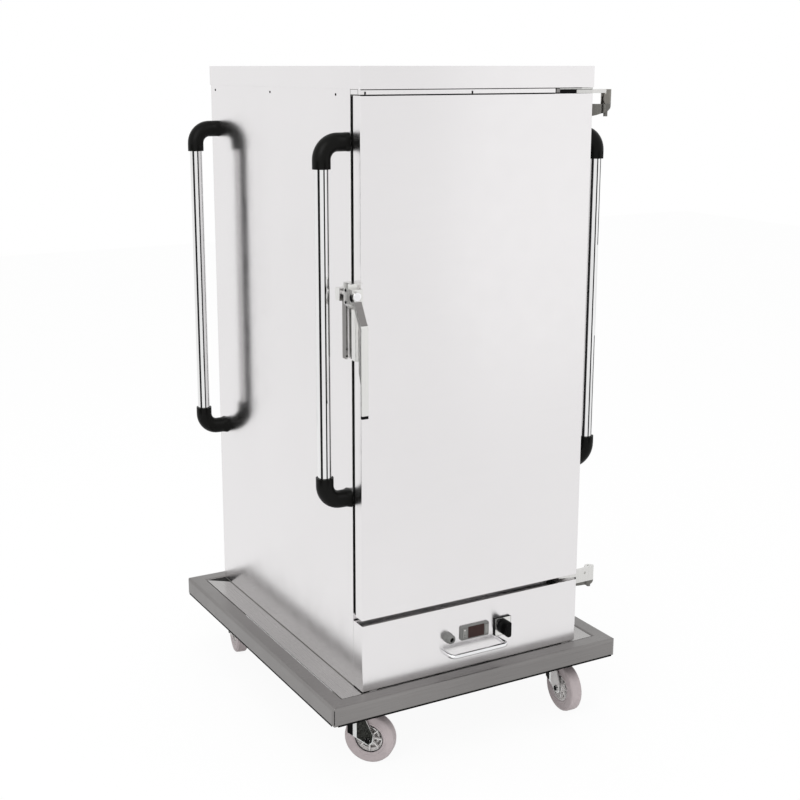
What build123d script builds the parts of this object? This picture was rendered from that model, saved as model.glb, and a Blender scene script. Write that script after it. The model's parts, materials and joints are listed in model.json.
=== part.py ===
from build123d import *
import math
import os

# Heated banquet cart. Millimetres, +Z up, the door faces -Y.
# The origin is on the floor, under the middle of the base frame.

# Base frame and deck
frame_side_gutter = 55.0
frame_end_gap = 0.3
frame_tube_width = 44.5
frame_tube_height = 48.0
frame_tube_wall = 3.0
frame_edge_radius = 8.0
frame_corner_radius = 12.0
corner_plate_width = 140.0
corner_plate_depth = 120.0
corner_plate_thickness = 5.0
corner_plate_notch = 46.0
deck_thickness = 2.0
deck_recess = 2.0
gutter_wedge_length = 43.5

# Casters
caster_height = 150.0
caster_inset_x = 66.0
caster_inset_front = 58.0
caster_inset_rear = 45.0
caster_trail = 38.0
caster_plate_width = 105.0
caster_plate_depth = 85.0
caster_plate_thickness = 4.0
caster_plate_corner_radius = 8.0
race_radius = 30.0
race_height = 9.0
race_lip = 5.0
kingpin_radius = 6.0
kingpin_head_radius = 10.0
kingpin_head_height = 3.0
fork_sheet = 3.0
fork_side_gap = 2.2
fork_wheel_gap = 2.5
fork_head_radius = 27.0
fork_toe_radius = 13.0
fork_leg_lead = 13.0
fork_shoulder_drop = 6.5
fork_flange_width = 7.0
axle_radius = 4.0
axle_head_radius = 7.0
axle_head_height = 5.0
swivel_rest_angles = {"front_left": -46.0, "front_right": -93.1, "rear_left": -101.0, "rear_right": -87.0}

# Wheels
wheel_radius = 62.5
wheel_width = 32.0
tread_corner_radius = 7.0
tread_corner_steps = 3
rim_radius = 38.5
rim_width = 27.0
rim_wall = 3.5
web_thickness = 6.0
hub_radius = 13.0
hub_width = 35.0
rib_count = 8
rib_thickness = 3.0
rim_groove = 1.6

# Brake pedals
pedal_width = 26.0
pedal_thickness = 5.0
pedal_reach = 27.0
pedal_drop = 22.0
pedal_pivot_radius = 3.0
pedal_eye_wall = 4.0
pedal_pivot_lead = 6.0
pedal_pivot_below_head = 18.0
pedal_side_gap = 1.5

# Cabinet
cabinet_width = 620.0
cabinet_depth = 849.4
panel_sheet = 1.5
liner_sheet = 1.0
cap_height = 48.9
cap_overhang = 2.0
cap_overhang_rear = 3.0
lintel_height = 11.2
lintel_gap = 2.2
lintel_right_margin = 108.0
stile_width = 35.0
stile_flange = 11.7
floor_thickness = 2.0
floor_slot_length = 90.0
floor_slot_width = 6.0
floor_slot_rows = 9
floor_slot_pitch = 26.0
rear_insulation = 33.0
insulation_foot = 10.5

# Tray racks
rack_levels = 14
rack_first_level = 60.0
rack_top_room = 97.2
runner_ledge = 14.0
runner_web = 22.0
runner_sheet = 1.5
runner_front_gap = 14.0
upright_depth = 5.0
upright_width = 25.0
upright_wall = 1.5
upright_inset = 95.0

# Fascia and heating module
fascia_lift = 1.0
fascia_height = 165.7
fascia_return = 45.0
fascia_edge_radius = 2.0
bay_gap = 2.3
tray_length = 430.0
tray_wall_height = 90.0
tray_side_gap = 1.0
deck_rib_width = 20.0
deck_rib_inset = 18.0

# Door
door_gap = 13.8
door_height = 1202.2
door_thickness = 32.5
door_sheet = 1.2
door_pan_raise = 6.0
door_pan_margin = 40.0
door_pan_slope = 8.0
gasket_depth = 13.2
gasket_width = 22.0
gasket_inset = 2.0
gasket_bead = 3.0

# Door hinges, with the pin on a vertical axis outside the door's edge
hinge_pivot_out = 51.8
hinge_pivot_back = 16.25
knuckle_radius = 12.0
hinge_pin_radius = 5.0
hinge_arm_thickness = 8.8
hinge_arm_length = 46.0
hinge_recess_length = 105.0
hinge_arm_taper_front = 12.0
hinge_arm_taper_rear = 3.0
hinge_root_half = 9.6
hinge_root_in = 5.0
upper_knuckle_drop = 26.0
bracket_height = 29.0
bracket_belly_out = 42.0
bracket_belly_share = 0.28
bracket_end_share = 0.93
bracket_leaf_depth = 44.0
bracket_leaf_thickness = 4.0
bracket_web = 9.0
lower_knuckle_height = 34.3
lower_knuckle_rise = 7.5
bracket_lower_height = 20.4
hinge_plate_thickness = 6.0
hinge_plate_proud = 2.0
hinge_plate_lap = 4.0
hinge_plate_slant = 6.0
hinge_plate_hole = 6.0
hinge_plate_hole_out = 28.0
hinge_plate_hole_up = 3.0
hinge_cover_height = 4.2

# Latch at the door's free edge
latch_height = 953.0
latch_hub_out = 20.0
latch_hub_radius = 11.0
latch_hub_front = 22.0
latch_shaft_radius = 5.0
latch_housing_width = 27.0
latch_housing_front = 10.0
latch_housing_top = 27.0
latch_housing_bottom = 34.0
latch_bar_length = 118.0
latch_bar_width = 9.0
latch_bar_back = 8.0
lever_grip_width = 17.5
lever_grip_depth = 8.0
lever_grip_front = 38.0
lever_grip_top = 75.0
lever_grip_bottom = 267.0
lever_grip_centre = 10.0
lever_root_share = 0.75
lever_web_rise = 6.5
lever_web_slope = 15.0
lever_web_thickness = 3.0
lever_tip_height = 7.0
keeper_height = 163.0
keeper_top = 10.0
keeper_back = 41.5
keeper_sheet = 2.5
keeper_pocket_wall = 3.0
keeper_pocket_clear = 2.0
keeper_pocket_height = 36.0

# Side handles
handle_out = 62.2
handle_front_inset = 64.0
handle_rear_inset = 35.4
handle_tube_radius = 16.0
handle_tube_wall = 1.5
handle_elbow_radius = 20.6
handle_bend_radius = 38.0
handle_low = 466.7
handle_high = 1283.0
handle_elbow_length = 57.5
handle_socket_depth = 18.0
handle_foot_side = 41.2
handle_foot_depth = 11.0
handle_foot_corner_radius = 10.0

# Controls on the fascia
gland_x = -74.5
gland_height = 90.0
gland_radius = 13.0
gland_length = 21.0
gland_hex_length = 9.5
gland_dome_radius = 11.4
gland_nose_radius = 8.6
gland_nose_drop = 4.6
gland_tail = 9.0
gland_bore_radius = 6.0
gland_thread_radius = 9.0
controller_x = 0.8
controller_height = 92.5
controller_width = 82.0
controller_bezel_height = 37.0
controller_depth = 5.5
controller_corner_radius = 5.0
controller_edge_chamfer = 1.6
controller_body_width = 71.0
controller_body_height = 29.0
controller_body_length = 60.0
window_width = 46.8
window_height = 30.0
window_depth = 1.8
window_offset = 3.0
key_width = 10.0
key_height = 24.0
key_proud = 1.2
key_travel = 0.8
key_pocket = 2.5
key_corner_radius = 2.0
switch_x = 83.0
switch_height = 88.5
switch_side = 47.0
switch_base_depth = 5.5
switch_corner_radius = 3.0
knob_radius = 16.5
knob_disc_depth = 12.0
knob_bar_width = 13.5
knob_bar_length = 39.5
knob_bar_depth = 17.0
knob_bar_corner_radius = 5.0
knob_edge_chamfer = 1.6
knob_shaft_radius = 3.0
knob_shaft_tail = 4.5
u_handle_x = 0.5
u_handle_height = 50.0
u_handle_span = 160.0
u_handle_reach = 35.0
u_handle_rod_radius = 5.5
u_handle_bend = 13.0

# Fan and heater in the module
fan_back = 250.0
motor_radius = 38.0
motor_height = 46.0
motor_foot = 60.0
fan_shaft_radius = 4.0
impeller_radius = 72.0
impeller_gap = 3.3
impeller_height = 32.0
impeller_disc = 1.6
impeller_hub_radius = 14.0
blade_count = 16
blade_thickness = 1.6
blade_inner_radius = 48.0
blade_bow_radius = 26.0
blade_sweep_degrees = 24.0
heater_ring_radius = 84.0
heater_rod_radius = 4.2
heater_rod_sides = 8
heater_opening_half = 22.0
heater_lead_length = 60.0
heater_bracket_width = 12.0

# Clearances
seat_gap = 0.3
running_clearance = 0.05
slide_clearance = 0.3
groove_clearance = 0.15

# Levels and planes that follow from the sizes above
frame_top = caster_height + frame_tube_height
deck_top = frame_top - deck_recess
fascia_bottom = frame_top + fascia_lift
fascia_top = fascia_bottom + fascia_height
door_bottom = fascia_top + door_gap
door_top = door_bottom + door_height
lintel_bottom = door_top + lintel_gap
cap_bottom = lintel_bottom + lintel_height
cap_top = cap_bottom + cap_height
side = cabinet_width / 2
inner_side = side - panel_sheet
frame_inner_width = cabinet_width + 2 * frame_side_gutter
frame_inner_depth = cabinet_depth + 2 * frame_end_gap
door_front = -cabinet_depth / 2
door_rear = door_front + door_thickness
gasket_rear = door_rear + gasket_depth
frame_face = gasket_rear + seat_gap
frame_rear = frame_face + panel_sheet
cabinet_rear = cabinet_depth / 2
rear_inner = cabinet_rear - panel_sheet
opening_half = side - stile_width
opening_bottom = door_bottom + stile_width
opening_top = door_top - stile_width
rack_pitch = (opening_top - opening_bottom - rack_first_level - rack_top_room) / (rack_levels - 1)
liner_outer = opening_half + liner_sheet
liner_rear = rear_inner - rear_insulation
bay_top = fascia_top + bay_gap
kingpin_x = frame_inner_width / 2 - caster_inset_x
kingpin_front = frame_inner_depth / 2 - caster_inset_front
kingpin_rear = frame_inner_depth / 2 - caster_inset_rear
race_bottom = caster_height - caster_plate_thickness - race_height
fork_head_top = race_bottom - seat_gap
fork_head_bottom = fork_head_top - fork_sheet
pivot_x = side + hinge_pivot_out
pivot_y = door_front + hinge_pivot_back
hub_x = -side - latch_hub_out
hub_z = frame_top + latch_height


def block(x0, x1, y0, y1, z0, z1):
    """A straight block between two corners."""
    size = Box(x1 - x0, y1 - y0, z1 - z0)
    return Pos((x0 + x1) / 2, (y0 + y1) / 2, (z0 + z1) / 2) * size


def plane_y(y):
    """A plane seen from the front: local x is X, local y is Z, its normal is -Y."""
    return Plane(origin=(0, y, 0), x_dir=(1, 0, 0), z_dir=(0, -1, 0))


def prism_z(points, z0, z1):
    """A plan outline raised from z0 to z1."""
    outline = make_face(Polyline(*points, close=True))
    return extrude(Pos(0, 0, z0) * outline, amount=z1 - z0)


def prism_y(points, y0, y1):
    """A front outline of (x, z) points from y0 back to y1."""
    outline = plane_y(y1) * make_face(Polyline(*points, close=True))
    return extrude(outline, amount=y1 - y0)


def prism_x(points, x0, x1):
    """A side outline of (y, z) points from x0 to x1."""
    plane = Plane(origin=(x0, 0, 0), x_dir=(0, 1, 0), z_dir=(1, 0, 0))
    return extrude(plane * make_face(Polyline(*points, close=True)), amount=x1 - x0)


def rod_z(radius, z0, z1, x=0.0, y=0.0):
    """A vertical rod."""
    return Pos(x, y, (z0 + z1) / 2) * Cylinder(radius, z1 - z0)


def rod_y(radius, y0, y1, x, z):
    """A rod from front to back."""
    return Pos(x, (y0 + y1) / 2, z) * Rot(90, 0, 0) * Cylinder(radius, y1 - y0)


def rounded_plate_y(width, height, radius, y0, y1, x, z):
    """A plate with rounded corners that faces the front."""
    outline = plane_y(y1) * Pos(x, z) * RectangleRounded(width, height, radius)
    return extrude(outline, amount=y1 - y0)


def group(solids):
    """Several solids of one sub-part."""
    return Compound(children=list(solids))


def frame_tube(length, outline):
    """One rectangular tube along X, centred, cut to an outline at its ends."""
    outer = RectangleRounded(frame_tube_width, frame_tube_height, frame_edge_radius)
    hollow = RectangleRounded(
        frame_tube_width - 2 * frame_tube_wall,
        frame_tube_height - 2 * frame_tube_wall,
        frame_edge_radius - frame_tube_wall,
    )
    tube = extrude(Plane.YZ * (outer - hollow), amount=length / 2, both=True)
    return tube & prism_z(outline, -frame_tube_height, frame_tube_height)


def base_frame():
    """Four mitred tubes, rounded at the outer corners, with corner plates inside."""
    outer_x = frame_inner_width / 2 + frame_tube_width
    outer_y = frame_inner_depth / 2 + frame_tube_width
    middle_z = caster_height + frame_tube_height / 2
    plan = RectangleRounded(2 * outer_x, 2 * outer_y, frame_corner_radius)
    corner_trim = Pos(0, 0, caster_height) * extrude(plan, amount=frame_tube_height)
    half_tube = frame_tube_width / 2
    pieces = []
    for outer, inner, offset, turn in (
        (outer_x, frame_inner_width / 2, frame_inner_depth / 2 + half_tube, 0),
        (outer_y, frame_inner_depth / 2, frame_inner_width / 2 + half_tube, 90),
    ):
        outline = [(-outer, -half_tube), (outer, -half_tube), (inner, half_tube), (-inner, half_tube)]
        tube = frame_tube(2 * outer, outline)
        for flip in (0, 180):
            placed = Rot(0, 0, turn + flip) * Pos(0, -offset, middle_z) * tube
            pieces.append(placed & corner_trim)
    for sx in (-1, 1):
        for sy in (-1, 1):
            x1 = sx * frame_inner_width / 2
            x0 = x1 - sx * corner_plate_width
            y1 = sy * frame_inner_depth / 2
            y0 = y1 - sy * corner_plate_depth
            notch = corner_plate_notch
            outline = [(x1, y1), (x0, y1), (x0, y0 + sy * notch), (x0 + sx * notch, y0), (x1, y0)]
            pieces.append(prism_z(outline, caster_height, caster_height + corner_plate_thickness))
    return group(pieces)


def deck_plate():
    """The sheet that closes the frame, notched at its rear corners, with two ribs that carry the module."""
    x = frame_inner_width / 2
    y = frame_inner_depth / 2
    notch = y - gutter_wedge_length
    outline = [
        (-x, -y), (x, -y), (x, y), (side, notch),
        (side, y), (-side, y), (-side, notch), (-x, y),
    ]
    sheet = prism_z(outline, deck_top - deck_thickness, deck_top)
    rib_out = inner_side - deck_rib_inset
    rib_front = door_front + panel_sheet
    rib_rear = door_front + fascia_return + tray_length
    rib_top = fascia_bottom - slide_clearance
    rib = block(rib_out - deck_rib_width, rib_out, rib_front, rib_rear, deck_top, rib_top)
    return sheet + rib + mirror(rib, about=Plane.YZ)


def gutter_wedges():
    """The rubber wedges that fill the notches at the rear corners of the deck."""
    x = frame_inner_width / 2
    y = frame_inner_depth / 2
    notch = y - gutter_wedge_length
    right = prism_z([(x, y), (side, y), (side, notch)], deck_top - deck_thickness, deck_top)
    return group([right, mirror(right, about=Plane.YZ)])


def caster_places():
    """Name, kingpin position and rest angle of each caster."""
    places = []
    for name, angle in swivel_rest_angles.items():
        sx = -1 if name.endswith("left") else 1
        y = -kingpin_front if name.startswith("front") else kingpin_rear
        places.append((name, sx * kingpin_x, y, angle))
    return places


def caster_plates():
    """Four top plates, each with its bearing race and kingpin."""
    plate = extrude(
        RectangleRounded(caster_plate_width, caster_plate_depth, caster_plate_corner_radius),
        amount=-caster_plate_thickness,
    )
    race_profile = [
        (0, 0), (race_radius, 0), (race_radius, -race_lip),
        (race_radius - race_lip, -race_height), (0, -race_height),
    ]
    race = revolve(Plane.XZ * make_face(Polyline(*race_profile, close=True)), Axis.Z)
    head_top = fork_head_bottom - seat_gap
    pin = rod_z(kingpin_radius, head_top - kingpin_head_height, race_bottom)
    head = rod_z(kingpin_head_radius, head_top - kingpin_head_height, head_top)
    top = Pos(0, 0, caster_height) * plate
    ring = Pos(0, 0, caster_height - caster_plate_thickness) * race
    one = top + ring + pin + head
    return group([Pos(x, y, 0) * one for _, x, y, _ in caster_places()])


def fork_side_face():
    """The fork seen from the side: head, straight leading edge and round toe."""
    lead = -fork_leg_lead
    shoulder = fork_head_bottom - fork_shoulder_drop
    slant = fork_toe_radius * math.sqrt(0.5)
    points = [
        (-fork_head_radius, fork_head_top),
        (-fork_head_radius, fork_head_bottom),
        (lead, shoulder),
        (lead, wheel_radius + fork_toe_radius),
        (caster_trail - slant, wheel_radius - slant),
        (caster_trail, wheel_radius),
        (caster_trail + fork_toe_radius, wheel_radius),
        (caster_trail + fork_toe_radius, wheel_radius + fork_toe_radius),
        (fork_head_radius, shoulder),
        (fork_head_radius, fork_head_top),
    ]
    leg = make_face(Polyline(*points, close=True))
    toe = Pos(caster_trail, wheel_radius) * Circle(fork_toe_radius)
    return leg + toe


def caster_fork():
    """A pressed fork: round head, two legs with turned-in leading flanges, axle bolt and pedal pin."""
    inner_half = hub_width / 2 + fork_side_gap
    outer_half = inner_half + fork_sheet
    blank = extrude(Plane.XZ * fork_side_face(), amount=outer_half, both=True)
    head = rod_z(fork_head_radius, fork_head_bottom, fork_head_top)
    far = caster_trail + wheel_radius
    lead = fork_leg_lead - fork_sheet
    slot = block(-lead, far, -inner_half, inner_half, 0, fork_head_bottom)
    front_half = inner_half - fork_flange_width
    front_slot = block(-far, far, -front_half, front_half, 0, fork_head_bottom)
    across_axle = Pos(caster_trail, 0, wheel_radius) * Rot(90, 0, 0)
    wheel_space = across_axle * Cylinder(wheel_radius + fork_wheel_gap, 2 * inner_half)
    legs = blank - slot - front_slot - wheel_space
    bore = rod_z(kingpin_radius + running_clearance, fork_head_bottom, fork_head_top)
    bolt = across_axle * Cylinder(axle_radius, 2 * outer_half)
    for sign in (-1, 1):
        middle = sign * (outer_half + axle_head_height / 2)
        bolt = bolt + across_axle * Pos(0, 0, middle) * Cylinder(axle_head_radius, axle_head_height)
    pin_place = Pos(-pedal_pivot_lead, 0, fork_head_top - pedal_pivot_below_head) * Rot(90, 0, 0)
    pin = pin_place * Cylinder(pedal_pivot_radius, 2 * outer_half)
    return legs + head - bore + bolt + pin


def caster_pedal():
    """The brake pedal: an eye round its pin and a bent tread plate in front of the fork."""
    eye_radius = pedal_pivot_radius + pedal_eye_wall
    x = -pedal_pivot_lead
    z = fork_head_top - pedal_pivot_below_head
    tip_x = x - pedal_reach
    half = pedal_width / 2 - pedal_side_gap
    points = [
        (x, z + eye_radius),
        (x - eye_radius, z + eye_radius),
        (tip_x, z - pedal_drop + 2 * pedal_thickness),
        (tip_x, z - pedal_drop),
        (tip_x + pedal_thickness, z - pedal_drop),
        (x - eye_radius, z - eye_radius),
        (x, z - eye_radius),
    ]
    blank = extrude(Plane.XZ * make_face(Polyline(*points, close=True)), amount=half, both=True)
    eye = Pos(x, 0, z) * Rot(90, 0, 0) * Cylinder(eye_radius, 2 * half)
    bore_radius = pedal_pivot_radius + running_clearance
    bore = Pos(x, 0, z) * Rot(90, 0, 0) * Cylinder(bore_radius, 2 * half)
    return blank + eye - bore


def tread_corner(side_sign):
    """Points of one rounded corner of the tread, from the side wall to the running face."""
    centre_radius = wheel_radius - tread_corner_radius
    centre_half = wheel_width / 2 - tread_corner_radius
    points = []
    for step in range(tread_corner_steps + 1):
        angle = math.radians(90 * step / tread_corner_steps)
        radius = centre_radius + tread_corner_radius * math.sin(angle)
        half = centre_half + tread_corner_radius * math.cos(angle)
        points.append((radius, side_sign * half))
    return points


def wheel_tyre():
    """The tyre: a ring with a round-shouldered tread and a groove beside the rim."""
    rim_half = rim_width / 2
    with_groove = rim_radius + rim_groove
    wall = wheel_width / 2
    profile = [(rim_radius, -rim_half), (with_groove, -rim_half), (with_groove + rim_groove, -wall)]
    profile = profile + tread_corner(-1) + list(reversed(tread_corner(1)))
    profile = profile + [(with_groove + rim_groove, wall), (with_groove, rim_half), (rim_radius, rim_half)]
    ring = revolve(Plane.XZ * make_face(Polyline(*profile, close=True)), Axis.Z)
    return Rot(90, 0, 0) * ring


def wheel_hub():
    """The rim with its web, ribs and bored hub."""
    half = rim_width / 2
    rim_inner = rim_radius - rim_wall
    web = web_thickness / 2
    hub_half = hub_width / 2
    bore = axle_radius + running_clearance
    points = [
        (bore, -hub_half), (hub_radius, -hub_half), (hub_radius, -web), (rim_inner, -web),
        (rim_inner, -half), (rim_radius, -half), (rim_radius, half), (rim_inner, half),
        (rim_inner, web), (hub_radius, web), (hub_radius, hub_half), (bore, hub_half),
    ]
    body = revolve(Plane.XZ * make_face(Polyline(*points, close=True)), Axis.Z)
    rib_in = hub_radius - rim_wall / 2
    rib_out = rim_inner + rim_wall / 2
    rib_half = half - rim_wall
    rib_points = [(rib_in, -rib_half), (rib_out, -rib_half), (rib_out, rib_half), (rib_in, rib_half)]
    rib = extrude(Plane.XZ * make_face(Polyline(*rib_points, close=True)), amount=rib_thickness / 2, both=True)
    for step in range(rib_count):
        body = body + Rot(0, 0, step * 360 / rib_count) * rib
    return Rot(90, 0, 0) * body


def place_caster(shape, x, y, angle):
    """Turns a caster piece to its rest angle and moves it to its kingpin."""
    return Pos(x, y, 0) * Rot(0, 0, angle) * shape


def side_panel():
    """The right side panel, from the deck up into the cap."""
    return block(inner_side, side, gasket_rear, cabinet_rear, deck_top, cap_top - panel_sheet)


def rear_panel():
    """The sheet between the side panels at the back."""
    return block(-inner_side, inner_side, rear_inner, cabinet_rear, deck_top, cap_top - panel_sheet)


def top_cap():
    """The folded lid: a pan, open below, that stands over the panels' upper edges."""
    x = side + cap_overhang
    y0 = door_front - cap_overhang
    y1 = cabinet_rear + cap_overhang_rear
    outer = block(-x, x, y0, y1, cap_bottom, cap_top)
    outer = fillet(outer.edges().filter_by(Axis.Z), panel_sheet)
    wall = cap_overhang - seat_gap
    inner = block(-x + wall, x - wall, y0 + wall, y1 - wall, cap_bottom, cap_top - panel_sheet)
    return outer - inner


def lintel_strip():
    """The folded strip over the door: front web, lower flange and left return."""
    right = side - lintel_right_margin
    y1 = gasket_rear
    outer = block(-side, right, door_front, y1, lintel_bottom, cap_bottom + 2 * lintel_height)
    inner = block(
        -side + panel_sheet, right, door_front + panel_sheet, y1,
        lintel_bottom + panel_sheet, cap_bottom + 2 * lintel_height,
    )
    return outer - inner


def front_frame():
    """Two stiles and two rails round the opening, with a flange turned in to the liner."""
    flange_rear = frame_rear + stile_flange
    stile = prism_z(
        [
            (opening_half, frame_face), (inner_side, frame_face), (inner_side, frame_rear),
            (liner_outer, frame_rear), (liner_outer, flange_rear), (opening_half, flange_rear),
        ],
        bay_top, cap_bottom,
    )
    liner_top = opening_top + liner_sheet
    stile = stile - block(opening_half, liner_outer, frame_rear, flange_rear, liner_top, cap_bottom)
    bottom = prism_x(
        [
            (frame_face, bay_top), (frame_rear, bay_top),
            (frame_rear, opening_bottom - liner_sheet), (flange_rear, opening_bottom - liner_sheet),
            (flange_rear, opening_bottom), (frame_face, opening_bottom),
        ],
        -opening_half, opening_half,
    )
    top = prism_x(
        [
            (frame_face, cap_bottom), (frame_rear, cap_bottom),
            (frame_rear, opening_top + liner_sheet), (flange_rear, opening_top + liner_sheet),
            (flange_rear, opening_top), (frame_face, opening_top),
        ],
        -opening_half, opening_half,
    )
    return group([stile, mirror(stile, about=Plane.YZ), bottom, top])


def insulation_slabs():
    """The slabs round the liner: left, right, rear and roof."""
    y0 = frame_rear + liner_sheet
    low = opening_bottom - insulation_foot
    liner_top = opening_top + liner_sheet
    right = block(liner_outer, inner_side, y0, liner_rear, low, liner_top)
    rear = block(-inner_side, inner_side, liner_rear, rear_inner, low, cap_top - panel_sheet)
    roof = block(-inner_side, inner_side, y0, liner_rear, liner_top, cap_top - panel_sheet)
    return group([right, mirror(right, about=Plane.YZ), rear, roof])


def cabinet_liner():
    """The inner tub: thin walls, open in front, with a ledge for the slotted floor."""
    y0 = frame_rear + stile_flange
    low = opening_bottom - floor_thickness - liner_sheet
    outer = block(-liner_outer, liner_outer, y0, liner_rear, low, opening_top + liner_sheet)
    inner = block(
        -opening_half, opening_half, y0, liner_rear - liner_sheet,
        low + liner_sheet, opening_top,
    )
    ledge = stile_width / 2
    window = block(
        -opening_half + ledge, opening_half - ledge, y0 + ledge, liner_rear - ledge,
        low, low + liner_sheet,
    )
    return outer - inner - window


def cavity_floor():
    """The removable floor plate with rows of air slots over the heating module."""
    y0 = frame_rear + stile_flange + slide_clearance
    y1 = liner_rear - liner_sheet - slide_clearance
    x = opening_half - slide_clearance
    z0 = opening_bottom - floor_thickness
    plate = block(-x, x, y0, y1, z0, opening_bottom)
    slot = extrude(SlotOverall(floor_slot_length, floor_slot_width), amount=floor_thickness)
    middle = (y0 + y1) / 2
    places = []
    for row in range(floor_slot_rows):
        y = middle + (row - (floor_slot_rows - 1) / 2) * floor_slot_pitch
        for column in (-1, 0, 1):
            places.append(Pos(column * (floor_slot_length + floor_slot_pitch), y, z0) * slot)
    return plate - places


def rack():
    """The right tray rack: two channel uprights and a runner at each level."""
    web_out = opening_half - seat_gap - upright_depth
    web_in = web_out - runner_sheet
    y0 = frame_rear + runner_front_gap
    y1 = liner_rear - liner_sheet - runner_front_gap
    half = upright_width / 2
    pieces = []
    back_out = web_out + upright_depth
    back_in = back_out - upright_wall
    for y in (y0 + upright_inset, y1 - upright_inset):
        points = [
            (web_out, y - half), (back_out, y - half), (back_out, y + half), (web_out, y + half),
            (web_out, y + half - upright_wall), (back_in, y + half - upright_wall),
            (back_in, y - half + upright_wall), (web_out, y - half + upright_wall),
        ]
        pieces.append(prism_z(points, opening_bottom, opening_top - seat_gap))
    for level in range(rack_levels):
        z = opening_bottom + rack_first_level + level * rack_pitch
        profile = [
            (web_out, z), (web_out, z - runner_web), (web_in, z - runner_web),
            (web_in, z - runner_sheet), (web_in - runner_ledge, z - runner_sheet),
            (web_in - runner_ledge, z),
        ]
        pieces.append(prism_y(profile, y0, y1))
    return group(pieces)


def door_skin():
    """The outer door pan, open at the back, with softened front edges."""
    outer = block(-side, side, door_front, door_rear, door_bottom, door_top)
    front_edges = outer.edges().group_by(Axis.Y)[0]
    outer = fillet(front_edges, door_sheet)
    inner = block(
        -side + door_sheet, side - door_sheet, door_front + door_sheet, door_rear,
        door_bottom + door_sheet, door_top - door_sheet,
    )
    return outer - inner


def door_insulation():
    """The slab inside the door, between the skin and the inner pan."""
    x = side - door_sheet
    return block(
        -x, x, door_front + door_sheet, door_rear - door_sheet,
        door_bottom + door_sheet, door_top - door_sheet,
    )


def door_inner_pan():
    """The inner sheet of the door, pressed out in the middle towards the cavity."""
    x = side - door_sheet
    y0 = door_rear - door_sheet
    low = door_bottom + door_sheet
    high = door_top - door_sheet
    sheet = block(-x, x, y0, door_rear, low, high)
    width = 2 * (side - door_pan_margin)
    height = door_height - 2 * door_pan_margin
    middle = (door_bottom + door_top) / 2
    base = plane_y(door_rear) * Pos(0, middle) * Rectangle(width, height)
    crown = plane_y(door_rear + door_pan_raise) * Pos(0, middle) * Rectangle(
        width - 2 * door_pan_slope, height - 2 * door_pan_slope
    )
    return sheet + loft([base, crown])


def door_gasket():
    """The magnetic gasket: four mitred strips with a soft bead on their rear edge."""
    x = side - gasket_inset
    low = door_bottom + gasket_inset
    high = door_top - gasket_inset
    half_height = (high - low) / 2
    middle = (low + high) / 2

    def strip(run, reach):
        """A strip whose outer edge is reach away from the middle, along X, centred."""
        outline = [
            (-run, -reach), (run, -reach),
            (run - gasket_width, -reach + gasket_width), (-run + gasket_width, -reach + gasket_width),
        ]
        profile = [
            (-reach, door_rear), (-reach + gasket_width, door_rear),
            (-reach + gasket_width, gasket_rear - gasket_bead),
            (-reach + gasket_width - gasket_bead, gasket_rear),
            (-reach + gasket_bead, gasket_rear), (-reach, gasket_rear - gasket_bead),
        ]
        plane = Plane(origin=(-run, 0, 0), x_dir=(0, 0, 1), z_dir=(1, 0, 0))
        face = plane * make_face(Polyline(*[(a, -b) for a, b in profile], close=True))
        bar = extrude(face, amount=2 * run)
        return bar & prism_y(outline, door_rear, gasket_rear)

    pieces = []
    for run, reach, turn in ((x, half_height, 0), (half_height, x, 90)):
        for flip in (0, 180):
            pieces.append(Pos(0, 0, middle) * Rot(0, turn + flip, 0) * strip(run, reach))
    return group(pieces)


def knuckle(z0, z1, bore):
    """A hinge barrel round the door's pivot."""
    barrel = rod_z(knuckle_radius, z0, z1, pivot_x, pivot_y)
    return barrel - rod_z(hinge_pin_radius + bore, z0, z1, pivot_x, pivot_y)


def hinge_arm_outline():
    """The arm in plan, from the knuckle over the door, tapering to its end."""
    end = side - hinge_arm_length
    front = door_front + door_sheet
    rear = door_rear - door_sheet
    root = pivot_x - hinge_root_in
    return [
        (root, pivot_y - hinge_root_half), (side, front), (end, front + hinge_arm_taper_front),
        (end, rear - hinge_arm_taper_rear), (side, rear), (root, pivot_y + hinge_root_half),
    ]


def hinge_arm_upper():
    """The upper arm: a tapered plate on the door's top with a long knuckle."""
    top = door_top + hinge_arm_thickness
    z0 = door_top - upper_knuckle_drop + seat_gap
    plate = prism_z(hinge_arm_outline(), door_top, top)
    plate = plate - rod_z(knuckle_radius, door_top, top, pivot_x, pivot_y)
    return group([plate, knuckle(z0, top, running_clearance)])


def hinge_arm_lower():
    """The lower arm: a tapered plate under the door, a slanted cheek with a square hole, its knuckle."""
    z1 = door_bottom
    z0 = z1 - hinge_arm_thickness
    barrel_top = door_bottom + lower_knuckle_rise
    barrel_low = barrel_top - lower_knuckle_height
    plate = prism_z(hinge_arm_outline(), z0, z1)
    cheek_front = pivot_y - knuckle_radius - hinge_plate_proud
    cheek_rear = cheek_front + hinge_plate_thickness
    cheek_left = side + 2 * seat_gap
    cheek_right = pivot_x + hinge_plate_lap
    cheek_points = [
        (cheek_left, barrel_low), (cheek_right, barrel_low),
        (cheek_right, barrel_top + hinge_plate_slant), (cheek_left, barrel_top),
    ]
    hole_x = side + hinge_plate_hole_out
    hole_z = door_bottom - hinge_plate_hole_up
    half = hinge_plate_hole / 2
    cheek = prism_y(cheek_points, cheek_front, cheek_rear)
    cheek = cheek - block(hole_x - half, hole_x + half, cheek_front, cheek_rear, hole_z - half, hole_z + half)
    plate = plate - rod_z(knuckle_radius, z0, z1, pivot_x, pivot_y) - cheek
    pin_hole = rod_z(hinge_pin_radius + running_clearance, barrel_low, barrel_top, pivot_x, pivot_y)
    barrel = cheek - pin_hole + knuckle(barrel_low, barrel_top, running_clearance)
    return group([plate, barrel])


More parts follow.
